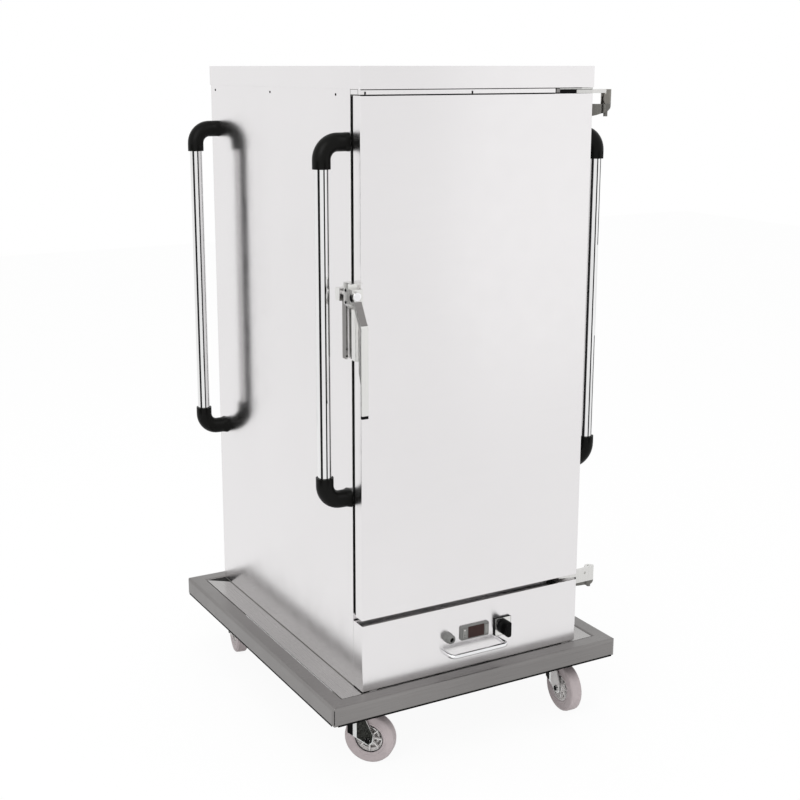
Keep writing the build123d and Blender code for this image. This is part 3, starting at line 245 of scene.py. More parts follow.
# Moulded plastics and rubbers, by the arguments of moulded()
BLACK_WORN = (0.06, 0.06, 0.06)
PLASTICS = {
    "gasket_rubber": dict(
        colour=(0.004, 0.004, 0.004), rough=0.60, grain_scale=900.0, depth=0.2, edge_lightening=0.1,
        worn=BLACK_WORN, sheen=0.03,
    ),
    "black_rubber": dict(
        colour=(0.010, 0.010, 0.010), rough=0.65, grain_scale=900.0, depth=0.2, edge_lightening=0.1,
        worn=BLACK_WORN, sheen=0.1,
    ),
    "black_plastic": dict(
        colour=(0.004, 0.004, 0.0042), rough=0.45, grain_scale=1500.0, depth=0.15, edge_lightening=0.1,
        worn=BLACK_WORN, sheen=0.05,
    ),
    "elbow_plastic": dict(
        colour=(0.005, 0.005, 0.0045), rough=0.35, grain_scale=1300.0, depth=0.10, edge_lightening=0.1,
        worn=BLACK_WORN, sheen=0.09,
    ),
    "motor_black": dict(
        colour=(0.02, 0.02, 0.021), rough=0.35, grain_scale=700.0, depth=0.25, edge_lightening=0.4,
        worn=(0.3, 0.3, 0.3),
    ),
    "grey_plastic": dict(
        colour=(0.17, 0.17, 0.165), rough=0.48, grain_scale=1500.0, depth=0.15, edge_lightening=0.3,
        worn=(0.4, 0.4, 0.4),
    ),
    "key_plastic": dict(
        colour=(0.24, 0.24, 0.23), rough=0.50, grain_scale=1500.0, depth=0.15, edge_lightening=0.3,
        worn=(0.45, 0.45, 0.45),
    ),
    "grey_tyre": dict(
        colour=(0.46, 0.405, 0.41), rough=0.62, grain_scale=800.0, depth=0.22, edge_lightening=0.12,
        worn=(0.55, 0.5, 0.5),
    ),
    "hub_plastic": dict(
        colour=(0.80, 0.78, 0.77), rough=0.42, grain_scale=1200.0, depth=0.15, edge_lightening=0.3,
        worn=(0.9, 0.88, 0.87),
    ),
}

# CAD nodes with another look than their slot's
NODE_LOOKS = {"hinge_pins": "bracket_steel"}

# Camera of the photograph
CAMERA_PLACE = (-1.673807, -2.992546, 1.640420)
CAMERA_PITCH = 13.005
CAMERA_YAW = 29.060
CAMERA_LENS = 60.053
CAMERA_SENSOR = 36.0
CAMERA_SHIFT = (0.01757, -0.03090)
CAMERA_REACH = 60.0

# Studio
FLOOR_HALF = 9.0
FLOOR_COLOUR = (0.94, 0.94, 0.94)
FLOOR_SHOWN = 0.93
WORLD_WHITE = 1.0
WORLD_LIGHT = 0.84
WHITE = (1.0, 1.0, 1.0, 1.0)

# Soft boxes: place, aim, width, height and watts
KEY_LIGHT = ((-2.6, -2.4, 3.4), (0.0, 0.0, 0.8), 2.6, 2.6, 54)
FILL_LIGHT = ((3.4, -2.9, 0.5), (0.0, 0.0, 0.6), 3.4, 4.2, 5.4)
TOP_LIGHT = ((0.0, 0.6, 4.0), (0.0, 0.0, 1.0), 3.0, 3.0, 34)

# Dark flags beside each chrome tube: bearing in degrees, reach, width, lowest and highest point
FLAG_COLOUR = (0.012, 0.012, 0.013)
FLAGS = {
    "front": (
        (204.0, 0.045, 0.027, 0.70, 1.44),
        (278.0, 0.045, 0.016, 0.70, 1.44),
        (333.0, 0.032, 0.013, 0.70, 0.98),
        (333.0, 0.032, 0.013, 1.21, 1.44),
    ),
    "rear": (
        (204.0, 0.045, 0.027, 0.70, 1.44),
        (278.0, 0.045, 0.016, 0.70, 1.44),
    ),
}
TUBES = {
    "front_left": (-0.3722, -0.3607),
    "rear_left": (-0.3722, 0.3893),
    "front_right": (0.3722, -0.3607),
    "rear_right": (0.3722, 0.3893),
}


def new_material(name):
    """An empty node material with a Principled shader on its output."""
    material = bpy.data.materials.new(name)
    material.use_nodes = True
    tree = material.node_tree
    tree.nodes.clear()
    out = tree.nodes.new("ShaderNodeOutputMaterial")
    shader = tree.nodes.new("ShaderNodeBsdfPrincipled")
    tree.links.new(shader.outputs["BSDF"], out.inputs["Surface"])
    return material, tree, shader


def noise(tree, stretch, detail=3.0, offset=(0.0, 0.0, 0.0)):
    """Noise in the object's own metres, stretched along each axis."""
    place = tree.nodes.new("ShaderNodeTexCoord")
    mapping = tree.nodes.new("ShaderNodeMapping")
    mapping.inputs["Scale"].default_value = stretch
    mapping.inputs["Location"].default_value = offset
    tree.links.new(place.outputs["Object"], mapping.inputs["Vector"])
    texture = tree.nodes.new("ShaderNodeTexNoise")
    texture.inputs["Scale"].default_value = 1.0
    texture.inputs["Detail"].default_value = detail
    tree.links.new(mapping.outputs["Vector"], texture.inputs["Vector"])
    return texture.outputs[0]


def spread(tree, value, low, high, start=0.3, end=0.7):
    """Maps a value from start..end to low..high. The usual start and end suit noise."""
    node = tree.nodes.new("ShaderNodeMapRange")
    node.inputs["From Min"].default_value = start
    node.inputs["From Max"].default_value = end
    node.inputs["To Min"].default_value = low
    node.inputs["To Max"].default_value = high
    tree.links.new(value, node.inputs["Value"])
    return node.outputs["Result"]


def maths(tree, kind, first, second):
    """A Math node of two values, each a socket or a number."""
    node = tree.nodes.new("ShaderNodeMath")
    node.operation = kind
    for socket, value in zip(node.inputs, (first, second)):
        if isinstance(value, (int, float)):
            socket.default_value = value
        else:
            tree.links.new(value, socket)
    return node.outputs["Value"]


def tinted(tree, colour, factor):
    """A colour, a socket or a tuple, scaled by a varying factor."""
    node = tree.nodes.new("ShaderNodeVectorMath")
    node.operation = "SCALE"
    if isinstance(colour, tuple):
        node.inputs[0].default_value = colour
    else:
        tree.links.new(colour, node.inputs[0])
    tree.links.new(factor, node.inputs["Scale"])
    return node.outputs["Vector"]


def mixed(tree, factor, first, second):
    """A mix of two colours, each a socket or a tuple."""
    node = tree.nodes.new("ShaderNodeMix")
    node.data_type = "RGBA"
    tree.links.new(factor, node.inputs["Factor"])
    for name, value in (("A", first), ("B", second)):
        socket = [s for s in node.inputs if s.name == name and s.type == "RGBA"][0]
        if isinstance(value, tuple):
            socket.default_value = (*value, 1.0)
        else:
            tree.links.new(value, socket)
    return [s for s in node.outputs if s.type == "RGBA"][0]


def edge_mask(tree, radius):
    """Near 1 on edges and near 0 on faces, with the rounded normal."""
    bevel = tree.nodes.new("ShaderNodeBevel")
    bevel.samples = 4
    bevel.inputs["Radius"].default_value = radius
    geometry = tree.nodes.new("ShaderNodeNewGeometry")
    product = tree.nodes.new("ShaderNodeVectorMath")
    product.operation = "DOT_PRODUCT"
    tree.links.new(bevel.outputs["Normal"], product.inputs[0])
    tree.links.new(geometry.outputs["Normal"], product.inputs[1])
    mask = spread(tree, product.outputs["Value"], 1.0, 0.0, 0.75, 0.98)
    return mask, bevel.outputs["Normal"]


def facing_up(tree, normal):
    """The upward share of a normal: 1 facing up, 0 upright and -1 facing down."""
    parts = tree.nodes.new("ShaderNodeSeparateXYZ")
    tree.links.new(normal, parts.inputs["Vector"])
    return parts.outputs["Z"]


def bump(tree, height, strength, distance, normal=None):
    """A Bump node on a height value."""
    node = tree.nodes.new("ShaderNodeBump")
    node.inputs["Strength"].default_value = strength
    node.inputs["Distance"].default_value = distance
    tree.links.new(height, node.inputs["Height"])
    if normal is not None:
        tree.links.new(normal, node.inputs["Normal"])
    return node.outputs["Normal"]


def brushed(name, colour, rough, grain, depth, shade, edge_lightening, soft,
            round_edge=0.0008, smear_up=0.0, under=1.0):
    """Brushed sheet steel: long fine grain, slow variation in shade and sheen, edges lighter partly from
    rubbing and partly as a painted highlight.

    Above 0, smear_up stretches the reflections upwards. Below 1, under darkens edges that face down as
    painted shade.
    """
    material, tree, shader = new_material(name)
    lines = noise(tree, GRAINS[grain], 4.0)
    cloud = noise(tree, (2.3, 2.3, 2.3), 2.0, (4.1, 1.7, 0.3))
    smear = noise(tree, (21.0, 21.0, 21.0), 4.0, (0.0, 2.0, 5.0))
    fine = spread(tree, lines, 1.0 - shade, 1.0 + shade)
    base = tinted(tree, colour, maths(tree, "ADD", fine, spread(tree, cloud, -shade, shade)))
    mask, rounded = edge_mask(tree, round_edge)
    # Lighter edges: partly rubbing, partly a painted highlight along the rounding
    lift = maths(tree, "MULTIPLY", mask, edge_lightening)
    light = tuple(min(1.0, c * 1.25 + 0.05) for c in colour)
    skin = mixed(tree, lift, base, light)
    # Painted shade: edges that face down are darkened
    if under < 1.0:
        skin = tinted(tree, skin, spread(tree, facing_up(tree, rounded), under, 1.0, -0.75, -0.20))
    tree.links.new(skin, shader.inputs["Base Color"])
    fine = spread(tree, lines, rough - soft, rough + soft)
    gloss = maths(tree, "ADD", fine, spread(tree, smear, -0.02, 0.03))
    tree.links.new(gloss, shader.inputs["Roughness"])
    shader.inputs["Metallic"].default_value = 1.0
    tree.links.new(bump(tree, lines, depth, 0.0002, rounded), shader.inputs["Normal"])
    if smear_up:
        across = tree.nodes.new("ShaderNodeTangent")
        across.direction_type = "RADIAL"
        across.axis = "Z"
        tree.links.new(across.outputs["Tangent"], shader.inputs["Tangent"])
        shader.inputs["Anisotropic"].default_value = smear_up
        shader.inputs["Anisotropic Rotation"].default_value = 0.25
    return material


def polished(name, colour, rough, painted_dark_lines=False):
    """Chromed tube or rod: mirror-like, with faint polishing marks and a few dull patches.

    A rod with painted dark lines is darker where it faces steeply down and along a narrow band near its
    top, as painted reflections of dark surroundings.
    """
    material, tree, shader = new_material(name)
    marks = noise(tree, (700.0, 700.0, 60.0), 3.0)
    dull = noise(tree, (14.0, 14.0, 6.0), 3.0, (3.0, 0.0, 0.0))
    skin = tinted(tree, colour, spread(tree, dull, 0.97, 1.02))
    # Painted reflection: a dark band near the top and a darker side facing down
    if painted_dark_lines:
        geometry = tree.nodes.new("ShaderNodeNewGeometry")
        up = facing_up(tree, geometry.outputs["Normal"])
        band = maths(tree, "ABSOLUTE", maths(tree, "SUBTRACT", up, 0.86), 0.0)
        skin = tinted(tree, skin, spread(tree, band, 0.06, 1.0, 0.05, 0.10))
        skin = tinted(tree, skin, spread(tree, up, 0.06, 1.0, -0.62, -0.40))
    tree.links.new(skin, shader.inputs["Base Color"])
    fine = spread(tree, marks, rough, rough + 0.03)
    gloss = maths(tree, "ADD", fine, spread(tree, dull, 0.0, 0.02))
    tree.links.new(gloss, shader.inputs["Roughness"])
    shader.inputs["Metallic"].default_value = 1.0
    tree.links.new(bump(tree, marks, 0.02, 0.0001), shader.inputs["Normal"])
    return material


def zinc_plate(name, colour, rough, mottling=0.86, worn=(0.9, 0.9, 0.9), scale=95.0):
    """Plated pressing: mottled passivation and rubbed edges."""
    material, tree, shader = new_material(name)
    mottle = noise(tree, (scale, scale, scale), 4.0)
    cloud = noise(tree, (22.0, 22.0, 22.0), 2.0, (2.0, 2.0, 2.0))
    factor = maths(tree, "ADD", spread(tree, mottle, mottling, 1.05), spread(tree, cloud, -0.08, 0.06))
    base = tinted(tree, colour, factor)
    mask, rounded = edge_mask(tree, 0.0008)
    lift = maths(tree, "MULTIPLY", mask, 0.5)
    tree.links.new(mixed(tree, lift, base, worn), shader.inputs["Base Color"])
    tree.links.new(spread(tree, mottle, rough, rough + 0.18), shader.inputs["Roughness"])
    shader.inputs["Metallic"].default_value = 1.0
    tree.links.new(bump(tree, mottle, 0.12, 0.0004, rounded), shader.inputs["Normal"])
    return material


def moulded(name, colour, rough, grain_scale, depth, edge_lightening, worn, sheen=0.5):
    """Moulded plastic or rubber: fine spark grain, slow shade changes and paler edges."""
    material, tree, shader = new_material(name)
    grain = noise(tree, (grain_scale, grain_scale, grain_scale), 2.0)
    cloud = noise(tree, (17.0, 17.0, 17.0), 3.0, (0.7, 0.2, 0.1))
    base = tinted(tree, colour, spread(tree, cloud, 0.9, 1.1))
    mask, rounded = edge_mask(tree, 0.001)
    lift = maths(tree, "MULTIPLY", mask, edge_lightening)
    tree.links.new(mixed(tree, lift, base, worn), shader.inputs["Base Color"])
    patches = spread(tree, cloud, rough - 0.05, rough + 0.06)
    gloss = maths(tree, "ADD", patches, spread(tree, grain, -0.03, 0.03))
    tree.links.new(gloss, shader.inputs["Roughness"])
    shader.inputs["Specular IOR Level"].default_value = sheen
    tree.links.new(bump(tree, grain, depth, 0.0002, rounded), shader.inputs["Normal"])
    return material


def wool(name, colour):
    """Mineral wool: coarse matted fibre."""
    material, tree, shader = new_material(name)
    fibre = noise(tree, (160.0, 900.0, 420.0), 6.0)
    tree.links.new(tinted(tree, colour, spread(tree, fibre, 0.75, 1.15)), shader.inputs["Base Color"])
    shader.inputs["Roughness"].default_value = 0.95
    tree.links.new(bump(tree, fibre, 0.7, 0.002), shader.inputs["Normal"])
    return material


def display(name, colour):
    """Smoked display window: deep gloss with faint wiping marks."""
    material, tree, shader = new_material(name)
    marks = noise(tree, (60.0, 60.0, 18.0), 4.0)
    tree.links.new(tinted(tree, colour, spread(tree, marks, 0.85, 1.15)), shader.inputs["Base Color"])
    tree.links.new(spread(tree, marks, 0.06, 0.16), shader.inputs["Roughness"])
    shader.inputs["Specular IOR Level"].default_value = 0.2
    tree.links.new(bump(tree, marks, 0.02, 0.0002), shader.inputs["Normal"])
    return material


def make_materials():
    """A finished material for each material slot of the record, and two more for dressing pieces."""
    materials = {name: brushed(name + "_look", **values) for name, values in STEELS.items()}
    for name, values in PLASTICS.items():
        materials[name] = moulded(name + "_look", **values)
    materials["zinc"] = zinc_plate("zinc_look", (0.72, 0.73, 0.72), 0.22)
    # Painted shade: the dark copy of the fork plates for the front-left caster
    materials["fork_painted_shade"] = zinc_plate(
        "fork_black_look", (0.060, 0.062, 0.056), 0.34, mottling=0.0, worn=(0.10, 0.10, 0.10), scale=260.0,
    )
    materials["chrome_tube"] = polished("chrome_tube_look", (0.80, 0.80, 0.80), 0.03)
    # The rod carries painted dark reflection lines
    materials["chrome_rod"] = polished("chrome_rod_look", (0.82, 0.82, 0.83), 0.03, painted_dark_lines=True)
    materials["wool"] = wool("wool_look", (0.46, 0.40, 0.20))
    materials["display_plastic"] = display("display_look", (0.030, 0.012, 0.010))
    return materials


def dress_nodes(materials):
    """Gives every CAD node the finished material of its record slot, or the one in NODE_LOOKS."""
    slots = {part["node"]: part["material_slot"] for part in frame["record"]["subparts"]}
    for node, obj in frame["nodes"].items():
        look = materials[NODE_LOOKS.get(node, slots[node])]
        if not obj.material_slots:
            obj.data.materials.append(look)
        for entry in obj.material_slots:
            entry.link = "OBJECT"
            entry.material = look


def mesh_object(name, mesh, materials, slot_name, body, look=None):
    """A finished piece from a bmesh, riding on a body, in its slot's material or in another look."""
    data = bpy.data.meshes.new(name)
    mesh.to_mesh(data)
    mesh.free()
    obj = bpy.data.objects.new(name, data)
    bpy.context.scene.collection.objects.link(obj)
    data.materials.append(materials[look or slot_name])
    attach(obj, body)
    return obj


def turned_rings(mesh, place, axis, rings, steps):
    """Adds a turned form: rings of (distance along axis, radius) from the place outwards."""
    turn = Vector((0, 0, 1)).rotation_difference(Vector(axis)).to_matrix().to_4x4()
    move = Matrix.Translation(Vector(place)) @ turn
    loops = []
    for along, radius in rings:
        loop = []
        for step in range(steps):
            angle = 2 * math.pi * step / steps
            point = Vector((radius * math.cos(angle), radius * math.sin(angle), along))
            loop.append(mesh.verts.new(move @ point))
        loops.append(loop)
    for lower, upper in zip(loops, loops[1:]):
        for step in range(steps):
            following = (step + 1) % steps
            face = mesh.faces.new((lower[step], lower[following], upper[following], upper[step]))
            face.smooth = True
    mesh.faces.new(tuple(reversed(loops[0])))
    mesh.faces.new(tuple(loops[-1]))


def domed_heads(name, places, axis, size, materials, slot_name, body):
    """A row of low domed heads, such as rivets or screws, each of the same radius and height."""
    radius, height = size
    rings = [(height * rise, radius * share) for rise, share in HEAD_PROFILE]
    mesh = bmesh.new()
    for place in places:
        turned_rings(mesh, place, axis, rings, HEAD_STEPS)
    return mesh_object(name, mesh, materials, slot_name, body)


def rounded_ring_plate(mesh, centre, half, hole, faces_y, corner, steps=12):
    """Adds a thin square plate with round corners and a round hole, between two faces square to Y."""
    count = 4 * steps
    outer = []
    inner = []
    for index in range(count):
        quarter = index // steps
        angle = math.pi / 2 * (index / steps)
        turn_x = math.cos(angle)
        turn_z = math.sin(angle)
        corner_x = (half - corner) * (1 if quarter in (0, 3) else -1)
        corner_z = (half - corner) * (1 if quarter in (0, 1) else -1)
        outer.append((centre[0] + corner_x + corner * turn_x, centre[1] + corner_z + corner * turn_z))
        inner.append((centre[0] + hole * turn_x, centre[1] + hole * turn_z))
    rows = []
    front, back = faces_y
    for y, line in ((front, inner), (front, outer), (back, outer), (back, inner)):
        rows.append([mesh.verts.new((x, y, z)) for x, z in line])
    for a, b in ((0, 1), (1, 2), (2, 3), (3, 0)):
        for index in range(count):
            following = (index + 1) % count
            mesh.faces.new((rows[a][index], rows[a][following], rows[b][following], rows[b][index]))


def soft_box(mesh, low, high, soft):
    """Adds a straight bar between two opposite corners, with its edges eased."""
    xs, ys, zs = zip(low, high)
    corners = [mesh.verts.new((x, y, z)) for x in xs for y in ys for z in zs]
    sides = [(0, 1, 3, 2), (4, 6, 7, 5), (0, 4, 5, 1), (2, 3, 7, 6), (0, 2, 6, 4), (1, 5, 7, 3)]
    faces = [mesh.faces.new([corners[index] for index in side]) for side in sides]
    edges = list({edge for face in faces for edge in face.edges})
    bmesh.ops.bevel(mesh, geom=edges, offset=soft, segments=2, affect="EDGES", profile=0.5)


def bars(name, corners, soft, materials, slot_name, body):
    """A piece of one or more eased bars, each given by its low and its high corner."""
    mesh = bmesh.new()
    for low, high in corners:
        soft_box(mesh, low, high, soft)
    return mesh_object(name, mesh, materials, slot_name, body)


def raised_plate(mesh, plate, move, side):
    """Adds one of the fork's plates to the leg on one side, with its rim eased."""
    thick, soft, outline = plate
    count = len(outline)
    middle_x = sum(point[0] for point in outline) / count
    middle_z = sum(point[1] for point in outline) / count
    far = side * (FORK_FACE + thick)
    rows = []
    for distance, inset in ((side * FORK_FACE, 0.0), (far - side * soft, 0.0), (far, side * soft)):
        row = []
        for x, z in outline:
            share = 1.0 - inset / math.hypot(x - middle_x, z - middle_z)
            point = Vector((middle_x + (x - middle_x) * share, distance, middle_z + (z - middle_z) * share))
            row.append(mesh.verts.new(move @ point))
        rows.append(row)
    for lower, upper in zip(rows, rows[1:]):
        for index in range(count):
            following = (index + 1) % count
            mesh.faces.new((lower[index], lower[following], upper[following], upper[index]))
    mesh.faces.new(tuple(reversed(rows[0])))
    mesh.faces.new(tuple(rows[-1]))
    bmesh.ops.recalc_face_normals(mesh, faces=mesh.faces[:])


def turned_band(mesh, move, rings, steps=64):
    """Adds a closed ring: (distance along Y, radius) points turned about the Y axis."""
    loops = []
    for along, radius in rings:
        loop = []
        for step in range(steps):
            angle = 2 * math.pi * step / steps
            point = Vector((radius * math.cos(angle), along, radius * math.sin(angle)))
            loop.append(mesh.verts.new(move @ point))
        loops.append(loop)
    for lower, upper in zip(loops, loops[1:] + loops[:1]):
        for step in range(steps):
            following = (step + 1) % steps
            face = mesh.faces.new((lower[step], lower[following], upper[following], upper[step]))
            face.smooth = True
    bmesh.ops.recalc_face_normals(mesh, faces=mesh.faces[:])


def bent_strip(mesh, rows, thick):
    """Adds a thin strip through rows of (left x, right x, y, z), standing forward by its thickness."""
    lines = []
    for left, right, y, z in rows:
        corners = ((left, y), (right, y), (right, y - thick), (left, y - thick))
        lines.append([mesh.verts.new((x, depth, z)) for x, depth in corners])
    for upper, lower in zip(lines, lines[1:]):
        for index in range(4):
            following = (index + 1) % 4
            mesh.faces.new((upper[index], upper[following], lower[following], lower[index]))
    mesh.faces.new(tuple(reversed(lines[0])))
    mesh.faces.new(tuple(lines[-1]))
    bmesh.ops.recalc_face_normals(mesh, faces=mesh.faces[:])


def side_heads(materials):
    """Rivets below the cap and screws in the frame, on both sides."""
    for sign, word in ((-1, "left"), (1, "right")):
        outward = (sign, 0, 0)
        places = [(sign * SIDE, y, RIVETS_Z) for y in RIVETS_Y]
        domed_heads("rivets_" + word, places, outward, RIVET, materials, "black_plastic", "cabinet")
        places = [(sign * FRAME_SCREWS_X, y, FRAME_SCREWS_Z) for y in FRAME_SCREWS_Y]
        name = "frame_screws_" + word
        domed_heads(name, places, outward, FRAME_SCREW, materials, "black_plastic", "cabinet")


def lintel_trim(materials):
    """The lintel's plugs, black lines of painted shade above and below it and the ends of the upper hinge's
    slot.
    """
    plugs = []
    for x in PLUGS_X:
        low = (x - PLUG_HALF, PLUG_Y[0], PLUG_Z[0])
        high = (x + PLUG_HALF, PLUG_Y[1], PLUG_Z[1])
        plugs.append((low, high))
    bars("lintel_plugs", plugs, PLUG_EASE, materials, "black_plastic", "cabinet")
    # Painted shade: a black strip fills the gap between the door's top and the lintel
    lip = ((GAP_SHADE_X[0], DOOR_FRONT - 0.0003, DOOR_TOP - 0.0006), (GAP_SHADE_X[1], GAP_SHADE_STEP, GAP_SHADE_TOP))
    run = ((GAP_SHADE_X[0], GAP_SHADE_STEP, DOOR_TOP), (GAP_SHADE_X[1], DOOR_REAR, GAP_SHADE_TOP))
    bars("door_top_gap_shade", [lip, run], EASE, materials, "gasket_rubber", "door")
    # Painted shadow: a black line beneath the cap's lip
    line = ((CAP_LINE_X[0], CAP_LINE_Y[0], CAP_LINE_LOW), (CAP_LINE_X[1], CAP_LINE_Y[1], CAP_LOW))
    bars("cap_shadow_line", [line], EASE, materials, "gasket_rubber", "cabinet")
    tab_lines = []
    for low_y, high_y, low_z, high_z in (
        (TAB_FRONT, TAB_FRONT + TAB_LINE_UPRIGHT, DOOR_TOP, CAP_LOW),
        (TAB_REAR - TAB_LINE_UPRIGHT, TAB_REAR, DOOR_TOP, CAP_LOW),
        (TAB_FRONT, TAB_REAR, DOOR_TOP, DOOR_TOP + TAB_LINE_LEVEL),
        (TAB_FRONT, TAB_REAR, CAP_LOW - TAB_LINE_LEVEL, CAP_LOW),
    ):
        low = (-SIDE - TAB_LINE_HALF, low_y, low_z)
        high = (-SIDE + TAB_LINE_HALF, high_y, high_z)
        tab_lines.append((low, high))
    bars("lintel_tab_lines", tab_lines, FINE_EASE, materials, "bracket_steel", "cabinet")
    lip = ((SLOT_LIP_X[0], SLOT_NEAR, SLOT_LIP_LOW), (SLOT_LIP_X[1], SLOT_FAR, SLOT_TOP))
    bars("hinge_slot_lip", [lip], EASE, materials, "hinge_steel", "cabinet")
    end = ((SLOT_END_X[0], SLOT_NEAR, LINTEL_LOW), (SLOT_END_X[1], SLOT_FAR, SLOT_TOP))
    bars("hinge_slot_end", [end], EASE, materials, "frame_steel", "cabinet")


def base_trim(materials):
    """The lines between deck and side panels, and a black strip of painted shade beneath the frame's outer
    edges.
    """
    for sign, word in ((-1, "left"), (1, "right")):
        low_x, high_x = sorted((sign * SIDE, sign * (SIDE + DECK_LINE_OUT)))
        line = ((low_x, DECK_LINE_Y[0], DECK_TOP), (high_x, DECK_LINE_Y[1], DECK_TOP + DECK_LINE_HEIGHT))
        bars("deck_joint_" + word, [line], EASE, materials, "bracket_steel", "cabinet")
    reach_x = FRAME_OUT_X - FRAME_CORNER
    reach_y = FRAME_OUT_Y - FRAME_CORNER
    strips = []
    for sign in (-1, 1):
        low_y, high_y = sorted((sign * (FRAME_OUT_Y - STRIP_NEAR), sign * (FRAME_OUT_Y - STRIP_FAR)))
        strips.append(((-reach_x, low_y, STRIP_LOW), (reach_x, high_y, STRIP_TOP)))
        low_x, high_x = sorted((sign * (FRAME_OUT_X - STRIP_NEAR), sign * (FRAME_OUT_X - STRIP_FAR)))
        strips.append(((low_x, -reach_y, STRIP_LOW), (high_x, reach_y, STRIP_TOP)))
    # Painted shade: a black strip along the frame's lower outer edges
    bars("frame_shade_strip", strips, EASE, materials, "black_plastic", "cabinet")


def hinge_trim(materials):
    """The dark sleeve round the upper hinge's knuckle."""
    mesh = bmesh.new()
    turned_rings(mesh, SLEEVE_FOOT, (0, 0, 1), SLEEVE_RINGS, SLEEVE_STEPS)
    mesh_object("hinge_sleeve", mesh, materials, "bracket_steel", "door", "hinge_sleeve")


def latch_trim(materials):
    """Screws, flange, shield, guide and bush of the keeper, and the latch's screws, disc, a black ring of
    painted shadow round the disc and a darker arm face of painted shade.
    """
    forward = (0, -1, 0)
    shaft = (SHAFT_X, SHAFT_Z)
    places = [(KEEPER_SCREWS_X, GASKET_REAR, z) for z in KEEPER_SCREWS_Z]
    domed_heads("keeper_screws_low", places, forward, KEEPER_SCREW, materials, "black_plastic", "cabinet")
    flange = ((FLANGE_X[0], FLANGE_Y[0], KEEPER_LOW), (FLANGE_X[1], FLANGE_Y[1], KEEPER_TOP))
    bars("keeper_flange", [flange], FINE_EASE, materials, "frame_steel", "cabinet")
    places = [(HOUSING_SCREWS_X, HOUSING_SCREWS_Y, z) for z in HOUSING_SCREWS_Z]
    domed_heads("latch_screws", places, (-1, 0, 0), HOUSING_SCREW, materials, "black_plastic", "door")
    mesh = bmesh.new()
    rounded_ring_plate(mesh, shaft, SHIELD_HALF, SHAFT_HOLE, SHIELD_Y, RING_CORNER)
    mesh_object("keeper_shield", mesh, materials, "panel_steel", "cabinet")
    guide = ((GUIDE_X[0], GUIDE_Y[0], GUIDE_LOW), (GUIDE_X[1], GUIDE_Y[1], KEEPER_TOP))
    bars("keeper_guide", [guide], GUIDE_EASE, materials, "hub_plastic", "cabinet")
    mesh = bmesh.new()
    rounded_ring_plate(mesh, shaft, BUSH_HALF, SHAFT_HOLE, BUSH_Y, RING_CORNER)
    mesh_object("keeper_bush", mesh, materials, "latch_steel", "cabinet")
    domed_heads("latch_hub_disc", [HUB_DISC_PLACE], forward, HUB_DISC, materials, "chrome_rod", "latch")
    # Painted shadow: a black ring round the hub
    domed_heads("latch_hub_shadow", [HUB_SHADOW_PLACE], forward, HUB_SHADOW, materials, "black_plastic", "door")
    # Painted shade: darker steel over the lever's slanted arm
    mesh = bmesh.new()
    bent_strip(mesh, LEVER_ARM_ROWS, LEVER_ARM_THICK)
    mesh_object("lever_arm_shade", mesh, materials, "frame_steel", "latch")


def control_trim(materials):
    """The switch's bright plate, the controller's lamp and marks, and a black disc of painted shade in the
    gland's bore.
    """
    forward = (0, -1, 0)
    mesh = bmesh.new()
    rounded_ring_plate(mesh, (SWITCH_X, SWITCH_Z), SWITCH_HALF, SWITCH_HOLE, SWITCH_Y, SWITCH_CORNER)
    mesh_object("switch_plate", mesh, materials, "latch_steel", "module")
    places = [(KEY_X, KEY_FACE, KEY_LAMP_Z)]
    domed_heads("controller_lamp", places, forward, KEY_LAMP, materials, "hub_plastic", "left_key")
    places = [(KEY_X, KEY_FACE, z) for z in KEY_MARKS_Z]
    domed_heads("key_marks", places, forward, KEY_MARK, materials, "black_plastic", "left_key")
    # Painted shade: a black disc makes the gland's bore dark
    domed_heads("gland_bore_shade", [GLAND_PLACE], forward, GLAND_BORE_SHADE, materials, "gasket_rubber", "module")


def caster_frame(name):
    """The turn and move from a caster's own axes, X along its trail, to the model."""
    x, y, angle = CASTERS[name]
    return Matrix.Translation(Vector((x, y, 0.0))) @ Matrix.Rotation(math.radians(angle), 4, "Z")


def fork_trim(materials, name, move):
    """Plates and a black cheek on each leg of a caster's fork, and a nut on each end of its axle. The
    plates are painted dark as shade on the front-left caster and pale as lit on the others.
    """
    # Painted shade on the front-left caster, painted light on the others
    slot_name, look = ("black_plastic", "fork_painted_shade") if name == SHADED_CASTER else ("hub_plastic", None)
    for piece, plate, plate_slot, plate_look in (
        ("fork_plate_", FORK_PLATE, slot_name, look),
        ("fork_flank_", FORK_FLANK, slot_name, look),
        ("fork_cheek_", FORK_CHEEK, "black_plastic", None),
    ):
        mesh = bmesh.new()
        for side in (-1, 1):
            raised_plate(mesh, plate, move, side)
        mesh_object(piece + name, mesh, materials, plate_slot, "caster_" + name, plate_look)
    nuts = bmesh.new()
    across = move.to_3x3() @ Vector((0.0, 1.0, 0.0))
    for side in (-1, 1):
        place = move @ Vector((TRAIL, side * FORK_FACE, AXLE_HEIGHT))
        turned_rings(nuts, place, across * side, NUT_RINGS, NUT_SIDES)
    mesh_object("axle_nuts_" + name, nuts, materials, "black_plastic", "caster_" + name)


def wheel_trim(materials, name, move):
    """A narrower tyre wall, a disc of painted shade in the hub's pockets and the line of the rim's joint,
    on both sides of a wheel.
    """
    hub = move @ Matrix.Translation(Vector((TRAIL, 0.0, AXLE_HEIGHT)))
    # Painted shade: the rim ring is black on the front-left caster
    joint_slot = "gasket_rubber" if name == SHADED_CASTER else "hub_plastic"
    for piece, ring, slot_name in (
        ("tyre_wall_", WALL_RING, "grey_tyre"),
        ("hub_pocket_shade_", POCKET_SHADE_RING, "deck_steel"),
        ("rim_joint_", JOINT_RING, joint_slot),
    ):
        mesh = bmesh.new()
        for side in (-1, 1):
            turned_band(mesh, hub, [(side * distance, radius) for distance, radius in ring])
        mesh_object(piece + name, mesh, materials, slot_name, "wheel_" + name)


